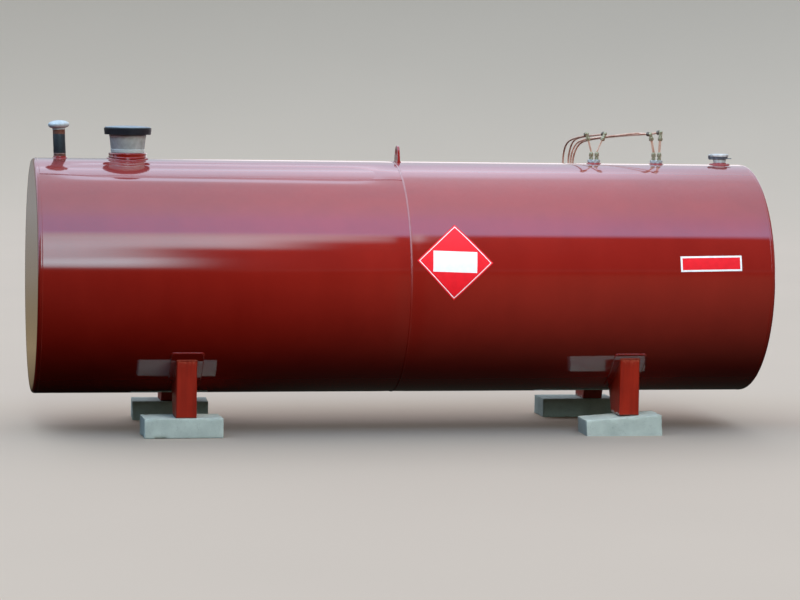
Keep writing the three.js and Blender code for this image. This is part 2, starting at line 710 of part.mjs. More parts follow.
// A round bar along a curve.
function rod(curve, radius, steps) {
  const section = [];
  for (let i = 0; i < TUBE_SIDES; i++) {
    const turn = (i / TUBE_SIDES) * Math.PI * 2;
    section.push(new THREE.Vector2(radius * Math.cos(turn), radius * Math.sin(turn)));
  }
  const settings = { steps, extrudePath: curve, bevelEnabled: false };
  return new THREE.ExtrudeGeometry(new THREE.Shape(section), settings);
}

// A turned shape that points from one place to another.
function aimed(profile, from, towards) {
  const direction = new THREE.Vector3().subVectors(towards, from).normalize();
  const turn = new THREE.Quaternion().setFromUnitVectors(new THREE.Vector3(0, 0, 1), direction);
  return turned(profile, SMALL_SEGMENTS).applyQuaternion(turn).translate(from.x, from.y, from.z);
}

const abovePlace = ([x, y, z]) => new THREE.Vector3(x, y, TOP + z);
const stepFrom = (place, direction, distance) => place.clone().addScaledVector(direction, distance);
const LINE_STEPS = 32;
const STRAIGHT_MOUTH = 8;
const RISER_ROOT = 8;

lines.forEach((line, index) => {
  const number = index + 1;
  const foot = abovePlace([line.tapping, 0, BUSHING_TOP + GAP]);
  const top = abovePlace([line.tapping, 0, BUSHING_TOP + GAP + CONNECTOR_HEIGHT]);
  const corner = abovePlace(line.corner);
  const along = new THREE.Vector3().subVectors(corner, top).normalize();
  const legFoot = stepFrom(corner, along, -line.leg);

  // Connector screwed in the bushing, with the riser's lower end made fast in its nut
  const connector = turned(connectorProfile, SMALL_SEGMENTS).translate(foot.x, foot.y, foot.z);
  const riserStart = abovePlace([line.tapping, 0, BUSHING_TOP + GAP + CONNECTOR_HEIGHT - RISER_ROOT]);
  const riserPath = new THREE.LineCurve3(riserStart, stepFrom(legFoot, along, -GAP));
  const riser = solid(rod(riserPath, line.riser, 2));
  tank.add(piece(`riser_${number}`, solid(connector).add(riser), BRASS));

  // Elbow: a nut that takes the riser, a leg, a rounded corner and a nut towards the line
  const legProfile = [
    [0, 0],
    [ELBOW_NUT, 0],
    [ELBOW_NUT, ELBOW_NUT_LENGTH],
    [ELBOW_BODY, ELBOW_NUT_LENGTH + 1],
    [ELBOW_BODY, line.leg],
    [0, line.leg],
  ];
  const first = abovePlace(line.route[0]);
  const out = new THREE.Vector3().subVectors(first, corner).normalize();
  const bend = new THREE.SphereGeometry(ELBOW_CORNER, SMALL_SEGMENTS, ELBOW_CORNER_RINGS);
  const elbow = solid(aimed(legProfile, legFoot, corner))
    .add(solid(bend.translate(corner.x, corner.y, corner.z)))
    .add(solid(aimed(outletProfile, corner, first)));
  tank.add(piece(`elbow_${number}`, elbow, BRASS));

  const mouth = stepFrom(corner, out, OUTLET_LENGTH + GAP);
  const points = [mouth, stepFrom(mouth, out, STRAIGHT_MOUTH), ...line.route.map(abovePlace)];
  const path = new THREE.CatmullRomCurve3(points, false, 'centripetal');
  tank.add(piece(`fuel_line_${number}`, rod(path, LINE_RADIUS, LINE_STEPS), COPPER));
});

const model = new THREE.Group();
model.add(tank);

export default model;
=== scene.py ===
from math import ceil, copysign, cos, exp, pi, radians, sin, sqrt, tan

import bmesh
import bpy
from mathutils import Matrix, Vector, noise


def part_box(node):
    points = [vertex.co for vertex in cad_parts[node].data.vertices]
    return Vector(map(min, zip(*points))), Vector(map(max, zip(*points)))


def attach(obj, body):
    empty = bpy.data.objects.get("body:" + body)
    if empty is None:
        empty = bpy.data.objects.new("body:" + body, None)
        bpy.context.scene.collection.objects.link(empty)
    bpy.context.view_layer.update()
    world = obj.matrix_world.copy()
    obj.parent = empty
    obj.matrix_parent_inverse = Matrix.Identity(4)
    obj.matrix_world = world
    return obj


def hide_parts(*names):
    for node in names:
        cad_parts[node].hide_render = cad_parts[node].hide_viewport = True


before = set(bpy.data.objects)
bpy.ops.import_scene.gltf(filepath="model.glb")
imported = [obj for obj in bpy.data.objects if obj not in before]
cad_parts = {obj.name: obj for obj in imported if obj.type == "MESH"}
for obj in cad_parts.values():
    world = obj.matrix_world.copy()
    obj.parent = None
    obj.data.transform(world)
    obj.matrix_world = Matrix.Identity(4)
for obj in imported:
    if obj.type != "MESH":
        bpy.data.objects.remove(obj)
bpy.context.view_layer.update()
MM = 0.001

# The photograph is taken from the front left with a long lens, a little above the top of the tank.
# The camera's place and turn come from the outline of the shell, its seam and its legs.
PHOTO_WIDTH = 800
FOCAL_PIXELS = 2789.6
SENSOR_WIDTH = 36.0
CAMERA_PLACE = Vector((-2.7198, -14.5230, 1.8512))
YAW, PITCH, ROLL = (radians(a) for a in (10.731, 4.571, -0.926))

camera = bpy.data.objects.new("camera", bpy.data.cameras.new("camera"))
camera.data.sensor_width = SENSOR_WIDTH
camera.data.lens = FOCAL_PIXELS / PHOTO_WIDTH * SENSOR_WIDTH
camera.data.clip_end = 200
forward = Vector((sin(YAW) * cos(PITCH), cos(YAW) * cos(PITCH), -sin(PITCH)))
level = Vector((cos(YAW), -sin(YAW), 0))
down = forward.cross(level)
right = cos(ROLL) * level + sin(ROLL) * down
below = cos(ROLL) * down - sin(ROLL) * level
turned_camera = Matrix((right, -below, -forward)).transposed().to_4x4()
camera.matrix_world = Matrix.Translation(CAMERA_PLACE) @ turned_camera
bpy.context.scene.collection.objects.link(camera)
bpy.context.scene.camera = camera
bpy.context.scene.view_settings.view_transform = "Standard"


# A plain pale studio floor, painted matt: a wide dish that curves up all round, so that every view has it
# for a background. It isn't part of the object, and it isn't mirrored in the paint.
FLOOR_RADIUS, COVE_RADIUS, COVE_TOP = 24.0, 7.0, 16.0
FLOOR_SIDES, COVE_STEPS = 96, 12
FLOOR_TONE, FLOOR_FADE = (0.720, 0.497, 0.350), 0.97


class Tone:
    """A value or colour that varies over a surface. Arithmetic on tones adds the nodes that work it out."""

    def __init__(self, socket):
        self.socket = socket

    @staticmethod
    def node(tree, kind, settings, values, output=0):
        """Adds a shader node: its settings first, then the values or links of its sockets."""
        made = tree.nodes.new("ShaderNode" + kind)
        for name, setting in settings.items():
            if name == "stops":
                ramp = made.color_ramp
                while len(ramp.elements) < len(setting):
                    ramp.elements.new(0.5)
                for element, (place, shade) in zip(ramp.elements, setting):
                    element.position = place
                    element.color = (*shade, 1)
            else:
                setattr(made, name, setting)
        for name, value in values.items():
            if isinstance(value, Tone):
                tree.links.new(value.socket, made.inputs[name])
            else:
                made.inputs[name].default_value = value
        return Tone(made.outputs[output])

    def maths(self, operation, *others):
        values = {i: v for i, v in enumerate((self, *others))}
        return Tone.node(self.socket.id_data, "Math", {"operation": operation}, values)

    def __add__(self, other):
        return self.maths("ADD", other)

    def __sub__(self, other):
        return self.maths("SUBTRACT", other)

    def __rsub__(self, other):
        return self.maths("MULTIPLY", -1.0) + other

    def __mul__(self, other):
        return self.maths("MULTIPLY", other)

    __radd__ = __add__

    def rise(self, low, high):
        """0 below low, 1 above high and smooth between them."""
        values = {"Value": self, "From Min": low, "From Max": high}
        settings = {"interpolation_type": "SMOOTHSTEP"}
        return Tone.node(self.socket.id_data, "MapRange", settings, values)

    def band(self, low, high, soft):
        """1 between low and high, and 0 outside them."""
        return self.rise(low - soft, low + soft) * (1 - self.rise(high - soft, high + soft))

    def shades(self, *stops):
        """The tone as a colour, through stops of (place, colour)."""
        return Tone.node(self.socket.id_data, "ValToRGB", {"stops": stops}, {"Fac": self})

    @staticmethod
    def over(upper, under, share):
        """One colour laid over another, by a share from 0 to 1. Either may be a plain colour."""
        upper, under = ((*c, 1) if isinstance(c, tuple) else c for c in (upper, under))
        values = {0: share, 6: under, 7: upper}
        return Tone.node(share.socket.id_data, "Mix", {"data_type": "RGBA"}, values, 2)


def place(tree, stretch=(1, 1, 1)):
    """Where a point of the surface is, in metres in the frame, with each axis stretched."""
    here = Tone.node(tree, "TexCoord", {}, {}, "Object")
    if stretch == (1, 1, 1):
        return here
    return Tone.node(tree, "Mapping", {}, {"Vector": here, "Scale": stretch})


def part_of(vector, axis):
    """One of the three numbers of a vector."""
    return Tone.node(vector.socket.id_data, "SeparateXYZ", {}, {"Vector": vector}, axis)


def cloud(tree, per_metre, detail=3.0, roughness=0.5, stretch=(1, 1, 1)):
    """Soft irregular patches from 0 to 1, so many to a metre."""
    values = {"Vector": place(tree, stretch), "Scale": per_metre, "Detail": detail, "Roughness": roughness}
    return Tone.node(tree, "TexNoise", {}, values)


def finish(name, paint, slot=None, **fixed):
    """A material. Its slot, the record's slot that it stands for, is not used. paint(tree) gives what varies
    over the surface.
    The rest is set on the shader itself."""
    material = bpy.data.materials.new(name)
    material.use_nodes = True
    tree = material.node_tree
    shader = tree.nodes["Principled BSDF"]
    for socket, value in fixed.items():
        shader.inputs[socket.replace("_", " ")].default_value = value
    for socket, tone in paint(tree).items():
        tree.links.new(tone.socket, shader.inputs[socket])
    return material


def coat(tree, colour, rough, height, depth_mm):
    """What varies over a coated surface: its colour, its roughness and a bump so many millimetres deep."""
    bump = Tone.node(tree, "Bump", {}, {"Height": height, "Distance": depth_mm * MM})
    return {"Base Color": colour, "Roughness": rough, "Normal": bump}


def full_turn(sides):
    """Even angles right round, in radians."""
    return [2 * pi * i / sides for i in range(sides)]


def arc(start, sweep, steps):
    """Even angles in radians, over a sweep that is given in degrees."""
    return [radians(start + sweep * i / steps) for i in range(steps + 1)]


def new_piece(name, mesh, sharp):
    """A mesh as an object of the scene, shaded smooth but for edges sharper than an angle in degrees."""
    mesh.shade_smooth()
    mesh.set_sharp_from_angle(angle=radians(sharp))
    piece = bpy.data.objects.new(name, mesh)
    bpy.context.scene.collection.objects.link(piece)
    return piece


def skin(name, rings, wrap=False, caps=True, sharp=35):
    """A mesh through rings of points, each ring a closed loop with the same number of points."""
    count = len(rings[0])
    points = [point for ring in rings for point in ring]
    follows = list(zip(range(len(rings) - 1), range(1, len(rings))))
    if wrap:
        follows.append((len(rings) - 1, 0))
    faces = []
    for a, b in follows:
        for i in range(count):
            j = (i + 1) % count
            faces.append((a * count + i, a * count + j, b * count + j, b * count + i))
    if caps and not wrap:
        faces.append(tuple(reversed(range(count))))
        faces.append(tuple(range((len(rings) - 1) * count, len(rings) * count)))
    mesh = bpy.data.meshes.new(name)
    mesh.from_pydata(points, [], faces)
    work = bmesh.new()
    work.from_mesh(mesh)
    bmesh.ops.remove_doubles(work, verts=work.verts, dist=1e-6)
    bmesh.ops.recalc_face_normals(work, faces=work.faces)
    work.to_mesh(mesh)
    work.free()
    return new_piece(name, mesh, sharp)


def matt_white(tree):
    speck = cloud(tree, 90, 4)
    wide = cloud(tree, 0.5, 2)
    faded = tuple(c * FLOOR_FADE for c in FLOOR_TONE)
    tone = (speck * 0.25 + wide * 0.75).shades((0.3, faded), (0.7, FLOOR_TONE))
    return {"Base Color": tone, "Roughness": 0.8 + speck * 0.1}


def dish_ring(radius, height):
    return [(radius * cos(turn), radius * sin(turn), height) for turn in full_turn(FLOOR_SIDES)]


flat_radius = FLOOR_RADIUS - COVE_RADIUS
dish = [dish_ring(radius, 0.0) for radius in (0.0, 2.0, 6.0, flat_radius)]
for turn in arc(0, 90, COVE_STEPS)[1:]:
    dish.append(dish_ring(flat_radius + COVE_RADIUS * sin(turn), COVE_RADIUS * (1 - cos(turn))))
dish.append(dish_ring(FLOOR_RADIUS, COVE_TOP))
floor = skin("floor", dish, caps=False)
floor.data.materials.append(finish("floor_white", matt_white))
floor.visible_diffuse = False
floor.visible_glossy = False
floor.visible_shadow = False


# Soft studio light from a dome, dark below and cool overhead, which lights the tank as open air does.
# Each stop is an angle round the tank, from the front over the top to the rear, and the glow there.
DOME_GLOW = 5.0
DOME = [
    (-178, (0.02, 0.02, 0.016)), (-90, (0.008, 0.009, 0.008)), (-40, (0.014, 0.014, 0.012)),
    (4, (0.038, 0.034, 0.028)), (9, (0.055, 0.048, 0.042)), (10.5, (0.18, 0.16, 0.15)),
    (12, (0.08, 0.07, 0.07)), (42.5, (0.12, 0.10, 0.11)), (46.5, (1.05, 1.65, 2.70)),
    (61, (1.05, 1.65, 2.60)), (70, (1.10, 1.65, 2.25)), (80, (1.05, 1.50, 1.90)),
    (91, (0.90, 1.30, 1.65)), (102, (0.90, 1.20, 1.50)), (119, (0.95, 1.20, 1.45)),
    (125, (1.35, 1.75, 2.20)), (131, (1.35, 1.72, 2.15)), (135, (1.70, 2.05, 2.50)),
    (139, (1.20, 1.50, 1.85)), (147, (0.80, 1.00, 1.25)), (162, (0.60, 0.70, 0.80)),
    (178, (0.30, 0.30, 0.30)),
]

# Panels laid over the dome. Each has its glow, how much of it shows at angles round the tank, where along
# the tank it comes in and where it ends.
WHITE_STRIP, LOW_STRIP = (2.5, 3.7, 4.2), (3.1, 4.5, 5.0)
LEFT_END = (-0.22, -0.12)
LEFT_HALF = (0.105, 0.175)
LEFT_HEAD = (-0.04, -0.02)
NO_START, NO_END = (-3, -2), (2, 3)
PANELS = [
    # A white strip in four steps, low in front of the left end
    (LOW_STRIP, [(11, 0), (13.5, 0.6), (17, 1), (20, 0.9), (22.5, 0.35), (30, 0.2), (33, 0)],
     LEFT_END, (0.085, 0.125)),
    (WHITE_STRIP, [(16, 0), (22, 0.75), (30, 0.9), (34, 0.9), (38, 0)], LEFT_END, (0.065, 0.115)),
    (WHITE_STRIP, [(29, 0), (33, 0.75), (37, 0.9), (41, 0.6), (45, 0)], LEFT_END, (0.125, 0.165)),
    (WHITE_STRIP, [(36, 0), (40.5, 0.65), (44.5, 0.6), (47.5, 0)], LEFT_END, (0.145, 0.215)),
    # Below: black to the left, dim to the right
    ((0.002, 0.002, 0.0015), [(-175, 0), (-160, 1), (-60, 1), (-20, 0)], NO_START, LEFT_HALF),
    ((0.13, 0.15, 0.11), [(-100, 0), (-60, 0.35), (-10, 0.9), (4, 0.9), (9, 0)], (0.12, 0.27), NO_END),
    # Overhead: duller to the right, and less blue above the crest at both ends
    ((0.72, 0.94, 1.22), [(48, 0), (60, 0.3), (110, 0.35), (126, 0.7), (150, 0.7), (158, 0)],
     (0.20, 0.32), NO_END),
    ((0.92, 0.92, 1.12), [(134, 0), (140, 0.6), (156, 0.6), (164, 0)], NO_START, LEFT_HALF),
    ((0.74, 0.72, 0.84), [(104, 0), (122, 0.4), (140, 0.55), (156, 0.55), (164, 0)], (0.24, 0.32), NO_END),
    # Behind: a pale line at the foot of the crest's mirror, then grey over brown beyond the left head
    ((1.30, 1.20, 1.25), [(-179, 1), (-174, 1), (-172, 0), (164, 0), (168, 1)], (0.08, 0.14), NO_END),
    ((0.27, 0.26, 0.25), [(-179, 1), (-175.9, 1), (-175.4, 0), (160, 0), (168, 1)], NO_START, LEFT_HEAD),
    ((0.26, 0.20, 0.12), [(-176, 0), (-175.5, 1), (-174, 1), (-173.7, 0)], NO_START, LEFT_HEAD),
    # Grey beyond the right end
    ((0.40, 0.37, 0.35), [(10, 0), (30, 1), (170, 1)], (0.55, 0.75), NO_END),
]


def dome_light(tree):
    facing = Tone.node(tree, "TexCoord", {}, {}, "Generated")
    along, depth, height = (part_of(facing, axis) for axis in range(3))
    round_it = height.maths("ARCTAN2", depth * -1.0) * (1 / (2 * pi)) + 0.5

    def at_angles(stops):
        return round_it.shades(*[(angle / 360 + 0.5, shade) for angle, shade in stops])

    def dimmed(shade):
        return tuple(c / DOME_GLOW for c in shade)

    glow = at_angles([(angle, dimmed(shade)) for angle, shade in DOME])
    for shade, stops, start, end in PANELS:
        mask = at_angles([(angle, (part, part, part)) for angle, part in stops])
        reach = along.rise(*start) * (1 - along.rise(*end))
        glow = Tone.over(dimmed(shade), glow, mask * reach)
    return glow


studio = bpy.data.worlds.new("studio")
studio.use_nodes = True
backdrop = studio.node_tree.nodes["Background"]
studio.node_tree.links.new(dome_light(studio.node_tree).socket, backdrop.inputs["Color"])
backdrop.inputs["Strength"].default_value = DOME_GLOW
bpy.context.scene.world = studio

# One large warm panel in front, a little right of the middle, so that the paint darkens towards the ends
# and underneath. It is too soft to be seen in the paint.
FILL_PLACE, FILL_AIM = Vector((0.5, -2.85, 2.95)), Vector((0.3, 0, 0.8))
fill = bpy.data.lights.new("front_fill", "AREA")
fill.shape = "RECTANGLE"
fill.size, fill.size_y = 2.6, 1.4
fill.energy = 98
fill.color = (1.0, 0.94, 0.88)
fill_lamp = bpy.data.objects.new("front_fill", fill)
fill_lamp.location = FILL_PLACE
fill_lamp.rotation_mode = "QUATERNION"
fill_lamp.rotation_quaternion = (FILL_PLACE - FILL_AIM).to_track_quat("Z", "Y")
fill_lamp.visible_glossy = False
fill_lamp.visible_camera = False
bpy.context.scene.collection.objects.link(fill_lamp)
# The panel is flagged off the floor, which would show a bright patch under it
flagged = bpy.data.collections.new("flagged_from_fill")
flagged.objects.link(floor)
flagged.collection_objects[0].light_linking.link_state = "EXCLUDE"
fill_lamp.light_linking.receiver_collection = flagged


# The shell: two courses of 4.8 mm steel plate, each rolled to a tube of 1.22 m and welded, then sprayed
# with glossy dark red enamel. The plate is never quite true: it pulls in beside the round weld, it stayed
# flat beside its lengthwise seam, and the rolls left faint lines along it.
shell_low, shell_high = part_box("shell_course_left")
RADIUS = (shell_high.y - shell_low.y) / 2
AXIS = (shell_high.z + shell_low.z) / 2
TOP = AXIS + RADIUS
SHELL_PLATE = 4.8 * MM
COURSE_ENDS = {side: [corner.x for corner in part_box(f"shell_course_{side}")] for side in ("left", "right")}
SEAM_X = (COURSE_ENDS["left"][1] + COURSE_ENDS["right"][0]) / 2
SHELL_SIDES, SHELL_STEPS = 360, 110
# The plate's waves and the rolls' lines: how deep, and how many to a metre along the tank and round it
UNTRUE, UNTRUE_ALONG, UNTRUE_ROUND = 0.75 * MM, 0.9, 3.4
ROLL_LINE, ROLL_LINE_ALONG, ROLL_LINE_ROUND = 0.26 * MM, 0.25, 13
NOISE_SHIFT = {"left": 0.0, "right": 7.3}
WELD_PULL, WELD_PULL_REACH = 1.1 * MM, 0.05
FLAT_HALF, FLAT_EASE = radians(9.5), radians(2.5)
FLAT_BEYOND_SEAM = radians(5.5)
FLATNESS = 0.85
FLAT_FADE = 150 * MM
# How far round from the front, in degrees, each lengthwise seam is at its left and right ends
LAP_ENDS = {"left": (62, 59.6), "right": (120, 120)}
ENAMEL_DEEP = (0.230, 0.0075, 0.0038)
ENAMEL_LIGHT = (0.275, 0.0110, 0.0058)
# A pale film on the top of the shell and its welds: dust, and a painted sheen where the top catches the
# light.
DUST_AND_SHEEN = (0.42, 0.30, 0.31)


def shell_enamel(tree):
    """Sprayed gloss enamel: orange peel, faint patches, and a pale film along the top: dust, and a painted
    sheen.
    """
    patches = cloud(tree, 1.7, 4, stretch=(0.6, 1, 1))
    runs = cloud(tree, 14, 3, stretch=(0.5, 1, 0.12))
    colour = (patches * 0.6 + runs * 0.4).shades((0.35, ENAMEL_DEEP), (0.65, ENAMEL_LIGHT))
    up = part_of(Tone.node(tree, "NewGeometry", {}, {}, "Normal"), "Z")
    # Dust and painted sheen: the paint is paler where it faces up.
    dust_and_sheen = up.rise(0.55, 1.0) * (0.35 + cloud(tree, 40, 5, 0.7) * 0.65) * 0.16
    peel = cloud(tree, 230, 2, 0.4)
    rough = 0.055 + dust_and_sheen * 0.5 + cloud(tree, 5, 4) * 0.03
    return coat(tree, Tone.over(DUST_AND_SHEEN, colour, dust_and_sheen), rough, peel, 0.012)


GLOSS = {"IOR": 1.5, "Coat_Weight": 1.0, "Coat_IOR": 1.55}
SHELL_PAINT = finish("shell_enamel", shell_enamel, "shell_paint", Coat_Roughness=0.03, **GLOSS)


def lap_turn(side, x):
    """How far round a course its lengthwise seam is at a place along the tank."""
    start, end = COURSE_ENDS[side]
    at_left, at_right = LAP_ENDS[side]
    return radians(at_left + (at_right - at_left) * (x - start) / (end - start))


def flat_by_seam(away):
    """How far in the plate is at an angle away from its seam, where its edges weren't rolled."""
    away = abs(away - FLAT_BEYOND_SEAM)
    if away < FLAT_HALF:
        return FLATNESS * RADIUS * (FLAT_HALF ** 2 - away ** 2 + FLAT_HALF * FLAT_EASE) / 2
    rest = max(FLAT_HALF + FLAT_EASE - away, 0)
    return FLATNESS * RADIUS * FLAT_HALF / FLAT_EASE * rest ** 2 / 2


def untrue(side, x, turn):
    """How far a course stands out of true at a place along and round the tank."""
    start, end = COURSE_ENDS[side]
    shift = NOISE_SHIFT[side]
    across, up = cos(turn) * RADIUS, sin(turn) * RADIUS
    waves = Vector((x * UNTRUE_ALONG, across * UNTRUE_ROUND, up * UNTRUE_ROUND + shift))
    lines = Vector((x * ROLL_LINE_ALONG, across * ROLL_LINE_ROUND + shift, up * ROLL_LINE_ROUND))
    pull = WELD_PULL * exp(-((x - SEAM_X) / WELD_PULL_REACH) ** 2)
    away = (turn - lap_turn(side, x) + pi) % (2 * pi) - pi
    fade = 1 - exp(-(min(x - start, end - x) / FLAT_FADE) ** 2)
    faded = noise.noise(lines) * ROLL_LINE * fade
    return noise.noise(waves) * UNTRUE + faded - pull - flat_by_seam(away) * fade


def round_tank(x, radius, turn):
    """A point round the tank. The turn starts at the front, level with the axis, and rises."""
    return Vector((x, -radius * cos(turn), AXIS + radius * sin(turn)))


def dress(piece, material, *stands_for, body="tank"):
    """Gives a piece its finish and its body, and hides the CAD nodes that it stands for."""
    piece.data.materials.append(material)
    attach(piece, body)
    if stands_for:
        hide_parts(*stands_for)


def course(side):
    start, end = COURSE_ENDS[side]
    turns = full_turn(SHELL_SIDES)
    rings = []
    for step in range(SHELL_STEPS + 1):
        x = start + (end - start) * step / SHELL_STEPS
        rings.append([round_tank(x, RADIUS + untrue(side, x, turn), turn) for turn in turns])
    for x in (end, start):
        rings.append([round_tank(x, RADIUS - SHELL_PLATE, turn) for turn in turns])
    piece = skin(f"course_{side}", rings, wrap=True)
    dress(piece, SHELL_PAINT, f"shell_course_{side}")


course("left")
course("right")


# The welds: a bead right round the middle, where the courses meet, one along each course, and one where
# each head is set in. They are painted over with the shell, with their ripples still showing.
# The length and swell of a bead's ripples, and the slower swell of a hand's run, with its waves to a metre
RIPPLE, RIPPLE_SWELL = 5.5 * MM, 0.10
RUN_SWELL, RUN_WAVES = 0.12, 40
WELD_STEP, WELD_SIDES = 2.2 * MM, 10
# Half of each weld's width, and its height
GIRTH_WELD, LAP_WELD = (5.0 * MM, 1.9 * MM), (4.6 * MM, 2.6 * MM)
GIRTH_SUNK = 0.9 * MM
LAP_STEPS, LAP_SHORT = 939, 2 * MM
LAP_HOOK_LENGTH, LAP_HOOK_DROP = 16 * MM, 9 * MM


def weld_enamel(tree):
    """The same enamel over a weld, where it lies thin on the rough ridge, with dust and a pale painted
    highlight that fades towards the bottom.
    """
    enamel = shell_enamel(tree)
    # Dust and painted highlight: the ridge is paler the higher it is on the tank.
    dust_and_highlight = part_of(place(tree), "Z").rise(AXIS - 0.15, AXIS + 0.35) * (0.1 + cloud(tree, 25, 4) * 0.4)
    enamel["Base Color"] = Tone.over(DUST_AND_SHEEN, enamel["Base Color"], dust_and_highlight)
    enamel["Roughness"] = enamel["Roughness"] + 0.15
    return enamel


WELD_PAINT = finish("weld_enamel", weld_enamel, "shell_paint", Coat_Roughness=0.12, **GLOSS)


def weld(name, path, size, *stands_for, paint=SHELL_PAINT, closed=True):
    """A weld bead along a path: a low ridge, with a ripple for each place where the weld pool stopped."""
    half_width, rise = size
    rings = []
    count = len(path)
    travelled = 0.0
    for i, point in enumerate(path):
        before = path[i - 1] if closed or i > 0 else path[0]
        after = path[(i + 1) % count] if closed or i < count - 1 else path[-1]
        along = (after - before).normalized()
        from_axis = Vector((0, point.y, point.z - AXIS)).normalized()
        across = along.cross(from_axis).normalized()
        out = across.cross(along).normalized()
        if i > 0:
            travelled += (point - path[i - 1]).length
        ripple = RIPPLE_SWELL * sin(2 * pi * travelled / RIPPLE)
        swell = 1 + ripple + RUN_SWELL * noise.noise(point * RUN_WAVES)
        ring = []
        for turn in full_turn(WELD_SIDES):
            sideways = across * (cos(turn) * half_width * swell)
            ring.append(point + sideways + out * (sin(turn) * rise * swell))
        rings.append(ring)
    dress(skin(name, rings, wrap=closed, sharp=60), paint, *stands_for)


def weld_circle(x, radius):
    """A circle round the tank."""
    return [round_tank(x, radius, turn) for turn in full_turn(int(2 * pi * radius / WELD_STEP))]


weld("girth_bead", weld_circle(SEAM_X, RADIUS - GIRTH_SUNK), GIRTH_WELD, "girth_weld", paint=WELD_PAINT)
for side in ("left", "right"):
    low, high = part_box(f"lap_seam_{side}")
    line = []
    for step in range(LAP_STEPS + 1):
        x = low.x + LAP_SHORT + (high.x - low.x - 2 * LAP_SHORT) * step / LAP_STEPS
        turn = lap_turn(side, x)
        from_girth = high.x - x if side == "left" else x - low.x
        hook = max(1 - from_girth / LAP_HOOK_LENGTH, 0) ** 2 * LAP_HOOK_DROP / RADIUS
        hooked = turn - hook if side == "left" else turn + hook
        line.append(round_tank(x, RADIUS + untrue(side, x, turn), hooked))
    weld(f"lap_bead_{side}", line, LAP_WELD, f"lap_seam_{side}", closed=False)


# The heads: a flat disc at each end with its edge pressed over a small knuckle, set into the shell and
# welded round. Being flat, they spring a little in and out.
KNUCKLE, KNUCKLE_STEPS = 16.5 * MM, 8
HEAD_SIDES, HEAD_RINGS = 192, 24
HEAD_SPRING, SPRING_WAVES, SPRING_SLICE, SPRING_EASE = 1.6 * MM, 3, 4, 6
HEAD_WELD, HEAD_WELD_SUNK = (3.2 * MM, 1.2 * MM), 0.3 * MM


def head(name, node, sign):
    low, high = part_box(node)
    face = high.x if sign > 0 else low.x
    rim = low.x if sign > 0 else high.x
    flat = RADIUS - KNUCKLE
    outline = [(RADIUS - SHELL_PLATE, rim), (RADIUS, rim)]
    for turn in arc(0, 90, KNUCKLE_STEPS):
        outline.append((flat + KNUCKLE * cos(turn), face - sign * KNUCKLE * (1 - sin(turn))))
    outline += [(flat * (1 - i / HEAD_RINGS), face) for i in range(1, HEAD_RINGS + 1)]
    turns = full_turn(HEAD_SIDES)
    rings = []
    for radius, x in outline:
        ring = []
        for turn in turns:
            across, up = cos(turn) * radius, sin(turn) * radius
            spot = Vector((across * SPRING_WAVES, up * SPRING_WAVES, sign * SPRING_SLICE))
            spring = HEAD_SPRING * (0.5 + noise.noise(spot) * 0.5)
            inward = sign * spring * (1 - (min(radius, flat) / flat) ** SPRING_EASE)
            ring.append(round_tank(x - inward, radius, turn))
        rings.append(ring)
    inside = face - sign * (SHELL_PLATE + HEAD_SPRING * 2)
    rings.append([round_tank(inside, 0.0, 0.0)] * HEAD_SIDES)
    rings.append([round_tank(inside, flat, turn) for turn in turns])
    dress(skin(name, rings, wrap=True), SHELL_PAINT, node)
    weld(f"{name}_bead", weld_circle(rim, RADIUS - HEAD_WELD_SUNK), HEAD_WELD)


head("head_disc_left", "head_left", -1)
head("head_disc_right", "head_right", 1)


# The wear plates: four curved plates of 4.8 mm steel that spread each leg's load over the shell. They are
# welded all round, with rounded corners, and painted with the shell.
GAP = 0.3 * MM
WEAR_PLATE = 4.8 * MM
WEAR_CORNER = 12 * MM
WEAR_SOFT = 0.8 * MM
WEAR_STEPS = 26
WEAR_WELD, WEAR_WELD_RISE = (3.6 * MM, 2.6 * MM), 1.0 * MM
WEAR_LOW = radians(-65)
# Each plate's top edge in degrees from the front, and how far it stands to the right of its leg
WEAR_PLATES = {"front_left": (-35.8, 2.0), "front_right": (-37.3, -1.0),
               "rear_left": (-36.4, 0.0), "rear_right": (-36.4, 0.0)}
QUARTERS = ((1, 1), (-1, 1), (-1, -1), (1, -1))


def front_or_rear(corner, turn):
    """The same turn on the side of the tank where a corner is."""
    return turn if corner.startswith("front") else pi - turn


def rounded_outline(half_wide, half_high, corner, corner_steps, spacing, middle=0.0):
    """A rectangle with rounded corners, in points no further apart than a spacing, its middle at a height."""
    points = []
    for quarter, (sx, sy) in enumerate(QUARTERS):
        for turn in arc(90 * quarter, 90, corner_steps):
            across = sx * (half_wide - corner) + corner * cos(turn)
            up = middle + sy * (half_high - corner) + corner * sin(turn)
            points.append(Vector((across, up)))
    line = []
    for a, b in zip(points, points[1:] + points[:1]):
        pieces = max(1, ceil((b - a).length / spacing))
        line += [a.lerp(b, i / pieces) for i in range(pieces)]
    return line


